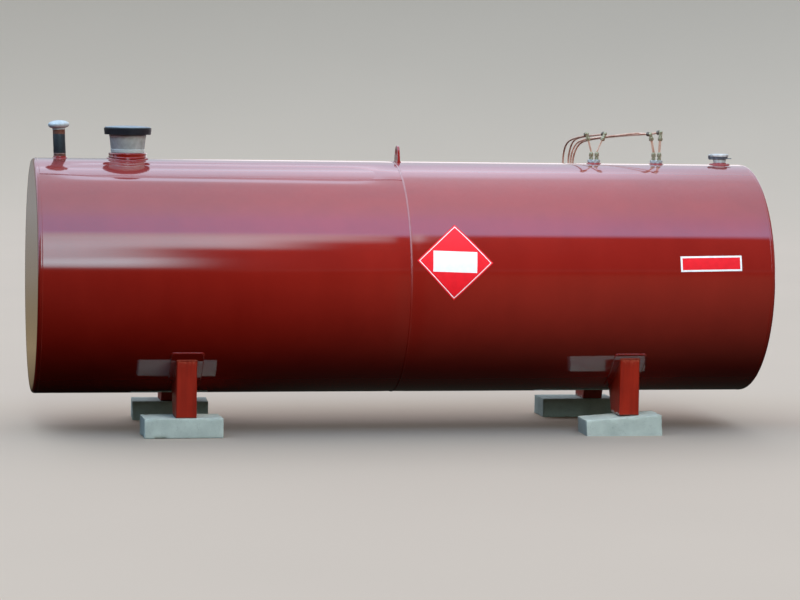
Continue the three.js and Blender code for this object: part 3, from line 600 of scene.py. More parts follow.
def wear_plate(corner):
    low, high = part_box(f"wear_plate_{corner}")
    top, shift = WEAR_PLATES[corner]
    x, half = (low.x + high.x) / 2 + shift * MM, (high.x - low.x) / 2 - abs(shift) * MM
    inner, outer = RADIUS + GAP, RADIUS + GAP + WEAR_PLATE
    high_turn = radians(top)
    sweep = high_turn - WEAR_LOW
    rings = []
    for i in range(WEAR_STEPS + 1):
        share = i / WEAR_STEPS
        inset = WEAR_CORNER - min(min(share, 1 - share) * sweep * outer, WEAR_CORNER)
        wide = half - WEAR_CORNER + sqrt(WEAR_CORNER ** 2 - inset ** 2)
        section = [(-wide, inner), (wide, inner), (wide, outer - WEAR_SOFT), (wide - WEAR_SOFT, outer),
                   (-wide + WEAR_SOFT, outer), (-wide, outer - WEAR_SOFT)]
        turn = front_or_rear(corner, WEAR_LOW + sweep * share)
        rings.append([round_tank(x + a, r, turn) for a, r in section])
    dress(skin(f"saddle_{corner}", rings), SHELL_PAINT, f"wear_plate_{corner}")
    radius, middle = RADIUS + WEAR_WELD_RISE, (high_turn + WEAR_LOW) / 2
    edge = rounded_outline(half, sweep * radius / 2, WEAR_CORNER, 6, spacing=1.5 * MM)
    path = [round_tank(x + a, radius, front_or_rear(corner, middle + s / radius)) for a, s in edge]
    weld(f"saddle_bead_{corner}", path, WEAR_WELD)


for corner in WEAR_PLATES:
    wear_plate(corner)


# The legs: each is a box bent from 6 mm plate with rounded edges, upright outside and sloping inside, cut
# on top to the curve of its wear plate and welded to it. They have one brushed coat of a brighter, duller
# red. The paint is scratched at the top, and one leg is scuffed to bare metal at the foot.
LEG_EDGE = 7 * MM
LEG_DEPTH = 175 * MM
LEG_SLOPE = 0.47
LEG_STEPS = 24
FIRST_GUESS, GUESSES = 0.2, 14
LEG_WELD = (3.4 * MM, 3.4 * MM)
LEG_RED = (0.350, 0.019, 0.0060)
LEG_RED_DARK = (0.250, 0.013, 0.0045)
LEG_SCRATCH = (0.46, 0.10, 0.055)
FOOT_BROWN = (0.060, 0.030, 0.018)
BARE = (0.46, 0.36, 0.30)
PAD_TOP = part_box("leg_front_left")[0].z
SCUFFED_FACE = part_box("leg_front_right")[0].x


def leg_enamel(tree):
    """Brushed enamel: upright brush marks, scratches at the top and a dark brown band along the foot."""
    brushed = cloud(tree, 60, 3, stretch=(1, 1, 0.06))
    patches = cloud(tree, 9, 4)
    colour = (brushed * 0.5 + patches * 0.5).shades((0.38, LEG_RED_DARK), (0.62, LEG_RED))
    here = place(tree)
    along, height = part_of(here, "X"), part_of(here, "Z")
    high_up = height.rise(PAD_TOP + 0.22, PAD_TOP + 0.30)
    scratched = (high_up * 0.3 + cloud(tree, 90, 5, 0.7) * 0.7).rise(0.56, 0.70)
    # The foot is painted dark brown in a band about 12 mm high, with a patchy upper edge.
    at_foot = 1 - height.rise(PAD_TOP, PAD_TOP + 0.012)
    dark_foot = (cloud(tree, 50, 3) * 0.5 + at_foot * 0.6).rise(0.55, 0.75)
    side_face = along.band(SCUFFED_FACE - 0.004, SCUFFED_FACE + 0.0012, 0.0004)
    low_down = 1 - height.rise(PAD_TOP + 0.004, PAD_TOP + 0.036)
    scuffed = (low_down * 0.45 + cloud(tree, 60, 5, 0.65) * 0.6).rise(0.69, 0.79) * side_face
    colour = Tone.over(LEG_SCRATCH, colour, scratched * 0.55)
    colour = Tone.over(FOOT_BROWN, colour, dark_foot * 0.8)
    rough = 0.36 + patches * 0.12 + dark_foot * 0.3 + scuffed * 0.2
    return coat(tree, Tone.over(BARE, colour, scuffed), rough, brushed + scuffed * 0.4, 0.10)


LEG_PAINT = finish("leg_enamel", leg_enamel, "leg_paint", IOR=1.38)


def leg(corner):
    low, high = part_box(f"leg_{corner}")
    x, foot = (low.x + high.x) / 2, low.z
    face, inwards = (low.y, 1) if corner.startswith("front") else (high.y, -1)
    plate = RADIUS + GAP + WEAR_PLATE + GAP

    def depth_at(inward, height):
        """Where a point of the section is across the tank, at a height above the foot."""
        return face + inwards * inward * (1 + LEG_SLOPE * height / LEG_DEPTH)

    def top_of(inward):
        """The height at which a point of the section meets the wear plate."""
        height = FIRST_GUESS
        for _ in range(GUESSES):
            height = AXIS - sqrt(plate ** 2 - depth_at(inward, height) ** 2) - foot
        return height

    half_deep = LEG_DEPTH / 2
    half_wide = (high.x - low.x) / 2
    outline = rounded_outline(half_wide, half_deep, LEG_EDGE, 5, spacing=4 * MM, middle=half_deep)
    section = [(across, inward, top_of(inward)) for across, inward in outline]
    rings = []
    for step in range(LEG_STEPS + 1):
        share = step / LEG_STEPS
        rings.append([Vector((x + a, depth_at(d, h * share), foot + h * share)) for a, d, h in section])
    dress(skin(f"post_{corner}", rings), LEG_PAINT, f"leg_{corner}")
    weld(f"post_bead_{corner}", rings[-1], LEG_WELD, paint=LEG_PAINT)


for corner in WEAR_PLATES:
    leg(corner)


# The pads: four solid concrete blocks of 16 by 8 by 4 inches, cast, pale and porous, with small chips
# along their edges. The front right one has sunk at its left end, so the leg bears on it along one edge.
PAD_SIZE = Vector((406, 203, 102)) * MM
PAD_CELL = 11 * MM
PAD_EDGE_CUTS = (0.0, 2.0 * MM, 5.0 * MM)
EDGE_WEAR, EDGE_ROUGH, EDGE_REACH = 0.9 * MM, 1.2 * MM, 2.5 * MM
CHIP_DEPTH, CHIP_REACH, CHIP_RARE = 16 * MM, 6 * MM, 0.18
FACE_ROUGH, ROUGH_WAVES, CHIP_WAVES = 0.25 * MM, 24, 30
SUNK_SHARE = 1.4
CONCRETE_PALE = (0.550, 0.595, 0.515)
CONCRETE_DARK = (0.360, 0.395, 0.345)
PORE = (0.17, 0.17, 0.16)
# Each block's middle along and across the tank, in metres, and how far it is turned, in degrees
PADS = {"front_left": (-1.167, -0.380, 1.4), "front_right": (1.137, -0.420, -1.0),
        "rear_left": (-1.151, 0.375, -3.3), "rear_right": (1.101, 0.401, 0.0)}
TILT = radians(3.8)


def cast_concrete(tree):
    """Pale cast concrete: a sandy grain, round pores and faint damp patches."""
    grain = cloud(tree, 420, 5, 0.7)
    patches = cloud(tree, 11, 4)
    pores = Tone.node(tree, "TexVoronoi", {}, {"Vector": place(tree), "Scale": 150.0})
    hole = (1 - pores.rise(0.10, 0.30)) * cloud(tree, 45, 2).rise(0.48, 0.60)
    tone = (grain * 0.45 + patches * 0.55).shades((0.30, CONCRETE_DARK), (0.62, CONCRETE_PALE))
    return coat(tree, Tone.over(PORE, tone, hole * 0.8), 0.86 + grain * 0.1, grain * 0.5 - hole, 1.1)


CONCRETE = finish("cast_concrete", cast_concrete, "concrete")


def grid_lines(half):
    """Where a block is divided along one axis: close together beside its edges, then in even cells."""
    inner = half - PAD_EDGE_CUTS[-1]
    cells = max(1, round(inner * 2 / PAD_CELL))
    even = [-inner + inner * 2 * i / cells for i in range(1, cells)]
    ends = [half - cut for cut in PAD_EDGE_CUTS[1:]]
    return [-end for end in ends] + even + ends


def cut_through(work, spot, facing, **settings):
    everything = work.verts[:] + work.edges[:] + work.faces[:]
    return bmesh.ops.bisect_plane(work, geom=everything, plane_co=spot, plane_no=facing, **settings)


def block(corner):
    x, y, turn = PADS[corner]
    low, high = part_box(f"pad_{corner}")
    sunk = corner == "front_right"
    size = PAD_SIZE.copy()
    if sunk:
        size.z *= SUNK_SHARE
    half = size / 2
    work = bmesh.new()
    bmesh.ops.create_cube(work, size=1.0, matrix=Matrix.Diagonal((*size, 1)))
    for axis in range(3):
        facing = Vector([1 if a == axis else 0 for a in range(3)])
        for where in grid_lines(half[axis]):
            cut_through(work, facing * where, facing)
    # Each block takes its own part of the noise, so that no two are alike
    rough_part, chip_part = Vector((x * 9, y * 9, 0)), Vector((x * 5, y * 7, 3))
    for vert in work.verts:
        spot = vert.co.copy()
        rough = noise.noise((spot + rough_part) * ROUGH_WAVES)
        chip = max(noise.noise((spot + chip_part) * CHIP_WAVES) - CHIP_RARE, 0) * CHIP_DEPTH
        near = sorted(half[a] - abs(spot[a]) for a in range(3))[1]
        worn = exp(-(near / EDGE_REACH) ** 2) * (EDGE_WEAR + abs(rough) * EDGE_ROUGH)
        worn += exp(-(near / CHIP_REACH) ** 2) * chip
        for axis in range(3):
            if half[axis] - abs(spot[axis]) < 1e-6:
                vert.co[axis] -= copysign(worn + FACE_ROUGH * (1 + rough), spot[axis])
    shift = Matrix.Translation((0, 0, -half.z))
    tip = Matrix.Rotation(-TILT if sunk else 0, 4, "Y")
    swing = Matrix.Rotation(radians(turn), 4, "Z")
    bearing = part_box("leg_front_right")[1].x
    rest = PAD_TOP - GAP - ((bearing - x) * tan(TILT) if sunk else 0)
    work.transform(Matrix.Translation((x, y, rest)) @ swing @ tip @ shift)
    if sunk:
        cut = cut_through(work, (0, 0, 0.2 * MM), (0, 0, -1), clear_outer=True)
        rim = [edge for edge in cut["geom_cut"] if isinstance(edge, bmesh.types.BMEdge)]
        bmesh.ops.contextual_create(work, geom=rim)
    for vert in work.verts:
        vert.co.z = max(vert.co.z, low.z)
    bmesh.ops.recalc_face_normals(work, faces=work.faces)
    mesh = bpy.data.meshes.new(f"block_{corner}")
    work.to_mesh(mesh)
    work.free()
    dress(new_piece(f"block_{corner}", mesh, sharp=50), CONCRETE, f"pad_{corner}")


for corner in PADS:
    block(corner)


# The lifting eye: a 13.5 mm plate with a round top and a hole, flame cut, set across the tank on the
# crest and welded down both sides.
LUG_EYE, LUG_CROWN, LUG_SHOULDER, LUG_SOFT = 17 * MM, 36 * MM, 12 * MM, 2.0 * MM
LUG_HOLE_START = radians(-40)
LUG_FOOT_STEPS = 12
LUG_WELD, LUG_WELD_RISE, LUG_WELD_STEPS = (4 * MM, 4 * MM), 0.5 * MM, 60


def crest_at(y):
    """The height of the shell's top at a place across the tank."""
    return AXIS + sqrt(RADIUS ** 2 - y ** 2)


def lifting_eye():
    low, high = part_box("lifting_lug")
    x, thick, half = (low.x + high.x) / 2, high.x - low.x, high.y
    crest = high.z - LUG_CROWN

    def outline(inset):
        line = [(half - inset, TOP + LUG_SHOULDER)]
        for turn in arc(20, 140, 24):
            line.append(((LUG_CROWN - inset) * cos(turn), crest + (LUG_CROWN - inset) * sin(turn)))
        line.append((-half + inset, TOP + LUG_SHOULDER))
        for i in range(LUG_FOOT_STEPS + 1):
            y = (-half + inset) * (1 - i / (LUG_FOOT_STEPS / 2))
            line.append((y, crest_at(y)))
        return line

    count = len(outline(0))

    def hole(radius):
        turns = [LUG_HOLE_START + turn for turn in full_turn(count)]
        return [(radius * cos(turn), crest + radius * sin(turn)) for turn in turns]

    face, edge = thick / 2, thick / 2 - LUG_SOFT
    layers = [(-face, outline(LUG_SOFT)), (-edge, outline(0)), (edge, outline(0)), (face, outline(LUG_SOFT)),
              (face, hole(LUG_EYE + LUG_SOFT)), (edge, hole(LUG_EYE)), (-edge, hole(LUG_EYE)),
              (-face, hole(LUG_EYE + LUG_SOFT))]
    rings = [[Vector((x + a, y, z)) for y, z in ring] for a, ring in layers]
    dress(skin("lifting_eye", rings, wrap=True, sharp=40), SHELL_PAINT, "lifting_lug")
    for side, offset in (("left", -face), ("right", face)):
        across = [-half + 2 * half * i / LUG_WELD_STEPS for i in range(LUG_WELD_STEPS + 1)]
        line = [Vector((x + offset, y, crest_at(y) + LUG_WELD_RISE)) for y in across]
        weld(f"lifting_eye_bead_{side}", line, LUG_WELD, closed=False)


lifting_eye()


# The working vent: a red half coupling welded to the crest, a 2 inch pipe in black varnish screwed into it,
# with brown pipe compound on both its threads, and a pressed mushroom cap of plated steel on top.
UP = Vector((0, 0, 1))
PIPE_RADIUS, PIPE_BORE = 31.75, 26.2
THREAD_PITCH, THREAD_CUTS = 2.2, 6
LEAN = radians(-2.4)
CAP_NECK, CAP_RADIUS, CAP_LOW, CAP_MIDDLE, CAP_TOP = 33.4, 55.0, 156.0, 173.6, 195.6
FOOT_WELD_STEP, FOOT_WELD_RISE = 1.5, 0.9


def turned(name, profile, foot, aim=UP, sides=64, sharp=35):
    """A turned piece. Its profile is a list of (radius, height) in millimetres above the foot. A radius may
    be a function of the angle, and a height in brackets, as (5,), follows the curve of the shell."""
    tilt = UP.rotation_difference(aim).to_matrix()
    wrap = profile[0] == profile[-1]
    rings = []
    for radius, height in profile[:-1] if wrap else profile:
        ring = []
        for angle in full_turn(sides):
            r = (radius(angle) if callable(radius) else radius) * MM
            spot = Vector((r * cos(angle), r * sin(angle), 0))
            if isinstance(height, tuple):
                spot.z = height[0] * MM + crest_at(spot.y) - TOP
            else:
                spot.z = height * MM
            ring.append(foot + tilt @ spot)
        rings.append(ring)
    return skin(name, rings, wrap=wrap, caps=False, sharp=sharp)


def thread(radius, low, high, depth=1.0):
    """The profile of a screw thread between two heights."""
    count = round((high - low) / THREAD_PITCH * THREAD_CUTS)
    profile = []
    for i in range(count + 1):
        height = low + (high - low) * i / count

        def groove(angle, height=height):
            phase = (height / THREAD_PITCH - angle / (2 * pi)) % 1
            return radius - depth * abs(phase * 2 - 1)

        profile.append((groove, height))
    return profile


def foot_weld(name, foot, radius, size):
    """The weld round the foot of a fitting on the crest of the shell."""
    line = []
    for turn in full_turn(int(2 * pi * radius / FOOT_WELD_STEP)):
        y = radius * MM * sin(turn)
        line.append(Vector((foot.x + radius * MM * cos(turn), y, crest_at(y))))
    weld(name, line, (size * MM, size * FOOT_WELD_RISE * MM))


def crest_under(node):
    """The place on the shell's crest where a fitting stands."""
    low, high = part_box(node)
    return Vector(((low.x + high.x) / 2, 0, TOP))


def mottled(patches, grain, share, stops, rough, depth_mm):
    """A coat in patches over a fine grain, both given as for cloud. Share is how much of the colour is the
    patches', and rough is the least roughness and what the patches add to it."""

    def surface(tree):
        wide, fine = cloud(tree, *patches), cloud(tree, *grain)
        tone = wide * share + fine * (1 - share)
        return coat(tree, tone.shades(*stops), rough[0] + wide * rough[1], fine, depth_mm)

    return surface


def black_varnish(tree):
    """Black pipe varnish, brown pipe compound on both threads, and one turn of the lower thread bare."""
    height = part_of(place(tree), "Z")
    worn = cloud(tree, 130, 5, 0.65)
    black = worn.shades((0.35, (0.010, 0.014, 0.017)), (0.75, (0.035, 0.043, 0.048)))
    brown = cloud(tree, 90, 4).shades((0.3, (0.10, 0.034, 0.020)), (0.7, (0.19, 0.072, 0.045)))
    threads = (1 - height.rise(TOP + 0.0265, TOP + 0.0275)) + height.rise(TOP + 0.124, TOP + 0.125)
    bare = height.band(TOP + 0.0230, TOP + 0.0252, 0.0003)
    colour = Tone.over((0.42, 0.36, 0.34), Tone.over(brown, black, threads * 0.95), bare * 0.7)
    return coat(tree, colour, 0.34 + worn * 0.2 + threads * 0.25, worn, 0.15)


VARNISH = finish("black_varnish", black_varnish, "dark_pipe", IOR=1.5)
# Dull zinc plate: a cloudy grey with faint white bloom
zinc = mottled((55, 5, 0.65), (400, 3), 0.7, [(0.30, (0.40, 0.43, 0.44)), (0.70, (0.66, 0.70, 0.71))],
               (0.36, 0.22), 0.03)
ZINC = finish("zinc_plate", zinc, "plated_steel", Metallic=0.6)
PALE_ZINC = finish("pale_zinc_plate", zinc, "plated_steel", Metallic=0.25)

vent_foot = crest_under("vent_coupling")
dress(turned("vent_socket", [
    (PIPE_BORE, (0,)), (33.6, (0,)), (34.4, (1.5,)), (34.4, 9.4), (33.6, 11.0), (32.8, 11.0), (32.8, 3.4),
    (PIPE_BORE, 3.4), (PIPE_BORE, (0,)),
], vent_foot), SHELL_PAINT, "vent_coupling")
foot_weld("vent_socket_bead", vent_foot, 35.5, 4.2)

lean = Vector((sin(LEAN), 0, cos(LEAN)))
pipe_profile = [(PIPE_BORE, 5.0), *thread(PIPE_RADIUS, 5.0, 27.0), (PIPE_RADIUS, 28.0), (PIPE_RADIUS, 124.0)]
pipe_profile += [*thread(PIPE_RADIUS, 125.0, 151.8, depth=0.5), (PIPE_BORE, 151.8), (PIPE_BORE, 5.0)]
dress(turned("vent_tube", pipe_profile, vent_foot, lean, sides=72), VARNISH, "vent_pipe")

cap_profile = [(0, 152.3), (32.1, 152.3), (32.1, 148.2), (32.5, 147.8), (33.0, 147.8), (CAP_NECK, 148.3),
               (CAP_NECK, 154.6), (32.9, 155.3)]
for turn in arc(6, 84, 14):
    lower = CAP_MIDDLE - (CAP_MIDDLE - CAP_LOW) * cos(turn)
    cap_profile.append((CAP_NECK + (CAP_RADIUS - CAP_NECK) * sin(turn), lower))
for turn in arc(0, 90, 16)[1:]:
    upper = CAP_MIDDLE + (CAP_TOP - CAP_MIDDLE) * sin(turn)
    cap_profile.append((CAP_RADIUS * cos(turn), upper))
dress(turned("vent_mushroom", cap_profile, vent_foot, lean, sides=72), PALE_ZINC, "vent_cap")


# The emergency vent: a wide painted collar, a tapered body cast in aluminium and screwed into it, and a
# loose cover that its own weight holds down: a black skirt round a domed cast lid. The cover's stem runs
# in a guide across the body.
def sand_cast(tree):
    """Sand-cast aluminium, left as cast: a fine pebbled skin with dull grey patches."""
    sand = cloud(tree, 600, 3, 0.6)
    dull = cloud(tree, 35, 4)
    colour = (sand * 0.35 + dull * 0.65).shades((0.32, (0.29, 0.32, 0.31)), (0.68, (0.48, 0.51, 0.50)))
    height = part_of(place(tree), "Z")
    # Two bands, round the flange and round the rim, are painted a lighter grey.
    pale_bands = height.band(TOP + 0.032, TOP + 0.050, 0.001) + height.band(TOP + 0.1135, TOP + 0.1165, 0.0005)
    colour = Tone.over((0.60, 0.63, 0.60), colour, pale_bands * 0.7)
    return coat(tree, colour, 0.42 + dull * 0.16 - pale_bands * 0.1, sand, 0.20)


CASTING = finish("sand_cast_aluminium", sand_cast, "cast_aluminium", Metallic=0.25)
# The lid's cast skin, weathered a duller blue grey
lid_cast = mottled((35, 4), (600, 3, 0.6), 0.65, [(0.32, (0.20, 0.24, 0.27)), (0.68, (0.34, 0.39, 0.43))],
                   (0.34, 0.16), 0.15)
LID_CASTING = finish("weathered_cast_aluminium", lid_cast, "cast_aluminium", Metallic=0.3)
# Satin black paint over the pressed steel skirt
satin_black = mottled((24, 4), (240, 3), 0.6, [(0.35, (0.006, 0.007, 0.010)), (0.70, (0.022, 0.024, 0.030))],
                      (0.36, 0.16), 0.05)
BLACK = finish("satin_black", satin_black, "black_paint", IOR=1.5)

DOME_RADIUS, DOME_FOOT, DOME_RISE, DOME_STEPS = 116.0, 165.5, 5.9, 14
emergency_foot = crest_under("emergency_vent_collar")
collar_profile = [(76.0, (0,)), (98.0, (0,)), (96.5, (3.0,))]
for turn in arc(-60, 120, 8):
    collar_profile.append((92.5 + 6.5 * cos(turn), (11.5 + 6.5 * sin(turn),)))
for turn in arc(-60, 150, 10):
    collar_profile.append((93.5 + 6.0 * cos(turn), 25.0 + 6.0 * sin(turn)))
collar_profile += [(79.5, 31.0), (78.6, 30.0), (78.6, 3.4), (76.0, 3.4), (76.0, (0,))]
dress(turned("emergency_collar", collar_profile, emergency_foot, sides=96), SHELL_PAINT,
      "emergency_vent_collar")
foot_weld("emergency_collar_bead", emergency_foot, 102.5, 6.0)

body_profile = [
    (72.0, 3.6), *thread(78.0, 3.6, 30.6), (80.0, 31.5), (84.6, 31.6), (86.4, 33.0), (88.3, 46.0),
    (88.2, 48.6), (86.6, 50.4), (87.2, 52.0), (93.6, 111.0), (94.2, 113.2), (95.6, 114.6), (96.0, 116.0),
    (96.0, 124.0), (95.0, 125.4), (73.0, 125.6), (72.0, 124.6), (72.0, 3.6),
]
dress(turned("emergency_casting", body_profile, emergency_foot, sides=96), CASTING,
      "emergency_vent_body")
hub_profile = [
    (9.6, 58.6), (10.2, 58.0), (16.4, 58.0), (17.0, 58.6), (17.0, 75.4), (16.4, 76.0), (10.2, 76.0),
    (9.6, 75.4), (9.6, 58.6),
]
dress(turned("emergency_guide_hub", hub_profile, emergency_foot, sides=40), CASTING)
BAR_SECTION = ((-7, 59), (-6, 58), (6, 58), (7, 59), (7, 75), (6, 76), (-6, 76), (-7, 75))
for side, near, far in (("left", -73, -16), ("right", 16, 73)):
    ends = [[emergency_foot + Vector((x, y, z)) * MM for y, z in BAR_SECTION] for x in (near, far)]
    dress(skin(f"emergency_guide_bar_{side}", ends), CASTING)

skirt_profile = [
    (116.0, 126.4), (117.0, 126.0), (119.4, 126.0), (120.2, 126.8), (122.4, 148.0), (123.0, 150.5),
    (123.0, 158.6), (121.8, 160.0), (112.4, 160.0), (111.2, 159.0), (111.2, 154.4), (116.0, 154.0),
    (116.0, 126.4),
]
dress(turned("emergency_skirt", skirt_profile, emergency_foot, sides=96), BLACK,
      "emergency_vent_skirt", body="vent_cover")

lid_profile = [
    (0, 40.0), (6.5, 40.0), (8.0, 42.0), (8.0, 153.8), (76.4, 154.0), (76.4, 127.0), (77.4, 126.0),
    (91.8, 126.0), (92.8, 127.0), (92.8, 150.0), (106.4, 150.0), (106.6, 154.2), (110.4, 154.2),
    (110.4, 160.3), (117.2, 160.3), (118.4, 161.2), (118.4, 163.8), (117.4, 165.2),
]
for i in range(DOME_STEPS + 1):
    across = DOME_RADIUS * (1 - i / DOME_STEPS)
    lid_profile.append((across, DOME_FOOT + DOME_RISE * (1 - (across / DOME_RADIUS) ** 2)))
dress(turned("emergency_lid", lid_profile, emergency_foot, sides=96), LID_CASTING,
      "emergency_vent_lid", body="vent_cover")


# The fill opening: a red coupling welded on, a short plated neck, and a locking cap: a base ring with two
# hinge ears and a hasp ear, and a lid that turns up on the pin between the ears.
HINGE_X, HINGE_Z = -54, 50
BAR_SOFT, BAR_CORNER = 0.8, 1.2
KNURL_RADIUS, KNURL_DEPTH, KNURLS = 34.0, 0.9, 36


def knurl(angle):
    """The radius of the knurled ring at an angle."""
    return KNURL_RADIUS - KNURL_DEPTH * (0.5 + 0.5 * cos(angle * KNURLS)) ** 3


def oiled_steel(tree):
    dark = cloud(tree, 80, 5).shades((0.3, (0.10, 0.115, 0.14)), (0.7, (0.20, 0.22, 0.255)))
    return coat(tree, dark, 0.38 + cloud(tree, 30, 4) * 0.2, cloud(tree, 350, 3), 0.06)


STEEL = finish("oiled_steel", oiled_steel, "plated_steel", Metallic=0.45)
# Bright plating on the lid, warm and nearly white, with duller rubbed patches
lid_plate = mottled((55, 5, 0.65), (400, 3), 1, [(0.30, (0.50, 0.485, 0.465)), (0.70, (0.74, 0.72, 0.69))],
                    (0.32, 0.2), 0.03)
LID_PLATE = finish("lid_plate", lid_plate, "plated_steel", Metallic=0.3)

fill_foot = crest_under("fill_coupling")
dress(turned("fill_socket", [
    (26.0, (0,)), (40.4, (0,)), (39.0, (3.0,)), (37.6, 8.0), (36.8, 10.2), (36.0, 11.0), (31.0, 11.0),
    (31.0, 3.4), (26.0, 3.4), (26.0, (0,)),
], fill_foot), SHELL_PAINT, "fill_coupling")
foot_weld("fill_socket_bead", fill_foot, 47.0, 8.0)

dress(turned("fill_collar", [
    (26.0, 3.6), (30.0, 3.6), (30.0, 11.4), (32.2, 11.4), (32.6, 12.0), (32.6, 17.0), (33.6, 17.8),
    (knurl, 18.8), (knurl, 29.6), (33.4, 30.6), (32.8, 31.8), (26.6, 31.8), (26.0, 31.2), (26.0, 3.6),
], fill_foot, sides=144), PALE_ZINC, "fill_neck")

dress(turned("fill_base_ring", [
    (26.0, 33.0), (26.6, 32.3), (42.6, 32.3), (44.0, 33.6), (44.0, 38.0), (43.0, 38.8), (43.0, 40.0),
    (44.0, 40.8), (44.0, 43.4), (43.2, 44.4), (26.6, 44.4), (26.0, 43.8), (26.0, 33.0),
], fill_foot), STEEL, "fill_cap_base")


def across_hinge(name, radius, start, end, sides=32, bore=0.0):
    """A round piece on the hinge's axis, between two places along it, in millimetres."""
    soft = 0.5
    length = end - start
    profile = [(bore, 0), (radius - soft, 0), (radius, soft), (radius, length - soft),
               (radius - soft, length), (bore, length)]
    if bore:
        profile.append((bore, 0))
    centre = fill_foot + Vector((HINGE_X, start, HINGE_Z)) * MM
    return turned(name, profile, centre, Vector((0, 1, 0)), sides=sides)


def slab(name, low, high):
    """A rectangular bar with softened edges, between two corners in millimetres from the fitting's foot."""
    low, high = Vector(low), Vector(high)
    rings = []
    layers = ((BAR_SOFT, low.z), (0, low.z + BAR_SOFT), (0, high.z - BAR_SOFT), (BAR_SOFT, high.z))
    for inset, z in layers:
        ring = []
        for sx, sy in QUARTERS:
            x = (high.x if sx > 0 else low.x) - sx * inset
            y = (high.y if sy > 0 else low.y) - sy * inset
            pair = [Vector((x, y - sy * BAR_CORNER, z)), Vector((x - sx * BAR_CORNER, y, z))]
            ring += pair if sx * sy > 0 else pair[::-1]
        rings.append([fill_foot + p * MM for p in ring])
    return skin(name, rings)


for side, sign in (("front", -1), ("rear", 1)):
    near, far = sorted((sign * 9.5, sign * 16))
    dress(across_hinge(f"hinge_ear_{side}", 6, near, far), ZINC)
    dress(slab(f"hinge_arm_{side}", (-56.5, near, 28), (-36, far, 44.4)), STEEL)
    dress(slab(f"hinge_cheek_{side}", (-60, near, 33), (-55, far, 50)), STEEL)
dress(across_hinge("hinge_pin", 3, -16.4, 16.4, sides=20), ZINC)
dress(slab("hasp_ear", (36, -12, 32.4), (64, 12, 36.3)), STEEL)

dress(turned("fill_lid_disc", [
    (0, 44.8), (46.2, 44.8), (47.5, 46.0), (47.5, 54.8), (46.4, 57.2), (44.0, 58.4), (30.0, 58.5),
    (28.8, 57.6), (12.0, 57.6), (0, 57.6),
], fill_foot, sides=72), LID_PLATE, "fill_cap_lid", body="fill_lid")
dress(across_hinge("fill_lid_knuckle", 6, -9, 9, bore=3.5), LID_PLATE, body="fill_lid")
dress(slab("fill_lid_strap", (-50.6, -8.6, 47), (-40, 8.6, 54.5)), LID_PLATE, body="fill_lid")


# The fuel lines: two red couplings, each with a plated bushing tapped for two brass connectors. Each
# connector holds a short riser that leans out to a brass elbow. The copper line is made fast in the
# elbow's nut, runs back over the tank and turns down behind it.
TAPPING = 15.5
BUSHING_TOP, CONNECTOR = 20.8, 42.0
JOIN, SCREWED_IN = 0.2, 8
LINE_RADIUS = 4.8
ELBOW_REACH, OUTLET = 10.5, 27.0
ROUTE_STEPS, TUBE_SIDES = 14, 20
# Where every line drops behind the tank: how far across, and from where to where below the crest
DROP_ACROSS, DROP_FROM, DROP_TO = 640, -30, -119
# For each line: its coupling and tapping, the corner of its elbow, the length of the elbow's leg, the
# riser's radius, where it drops, and its route to there, in millimetres along the tank, across and above
LINES = [
    ("left", -TAPPING, (1036, 0, 158), 38, 4.4, 1067.5,
     [(1038, 69, 145), (1047, 242, 133), (1054, 387, 120), (1060, 501, 102), (1064, 578, 75), (1067, 622, 41),
      (1067.5, 638, 8)]),
    ("left", TAPPING, (1137, 0, 160), 40, 3.6, 1097.7,
     [(1121, 50, 154), (1112, 267, 141), (1107, 410, 131), (1102.5, 517, 114), (1100, 581, 86),
      (1098.5, 620, 45), (1098, 637, 8)]),
    ("right", -TAPPING, (1389, 0, 160), 35, 6.35, 1111.1,
     [(1344, 98, 162), (1267, 277, 145), (1188, 460, 125), (1154, 541, 113), (1131, 594, 91), (1118, 625, 52),
      (1112.5, 637, 12)]),
    ("right", TAPPING, (1446, 0, 171), 46, 6.35, 1123.2,
     [(1414, 63, 162), (1336, 219, 150), (1253, 383, 134), (1188, 512, 116), (1153, 580, 96), (1136, 614, 62),
      (1126, 635, 14)]),
]

# Plain brass dulled outdoors, with a greenish cast
dull_brass = mottled(
    (120, 5, 0.6), (500, 3), 1,
    [(0.30, (0.26, 0.21, 0.12)), (0.52, (0.48, 0.43, 0.28)), (0.75, (0.62, 0.60, 0.44))],
    (0.30, 0.25), 0.03)
# Brass gone nearly black, with browner patches
dark_brass = mottled(
    (120, 5, 0.6), (500, 3), 1,
    [(0.30, (0.075, 0.065, 0.055)), (0.70, (0.22, 0.185, 0.145))], (0.30, 0.25), 0.03)
# Drawn copper tube, still pink where it was handled and browner elsewhere
copper_tube = mottled(
    (22, 5, 0.6), (260, 3), 0.8,
    [(0.32, (0.42, 0.180, 0.120)), (0.46, (0.72, 0.42, 0.30)), (0.62, (0.90, 0.64, 0.50))],
    (0.30, 0.18), 0.03)
BRASS = finish("dull_brass", dull_brass, "brass", Metallic=0.7)
DARK_BRASS = finish("dark_brass", dark_brass, "brass", Metallic=0.6)
COPPER = finish("copper_tube", copper_tube, "copper", Metallic=0.5)
HEXAGON_CORNER = 1.155
NUT_SOFT = 0.12


def flats(sides, flat, corner):
    """The radius at an angle of a nut with so many sides, with its corners turned off to a circle."""
    half = pi / sides
    return lambda angle: min(flat / cos((angle + half) % (2 * half) - half), corner)


def nut(flat, low, high):
    """The profile of a hexagonal nut with turned-off corners, between two heights."""
    soft = (high - low) * NUT_SOFT
    blunt, full = flats(6, flat, flat), flats(6, flat, flat * HEXAGON_CORNER)
    return [(blunt, low), (full, low + soft), (full, high - soft), (blunt, high)]


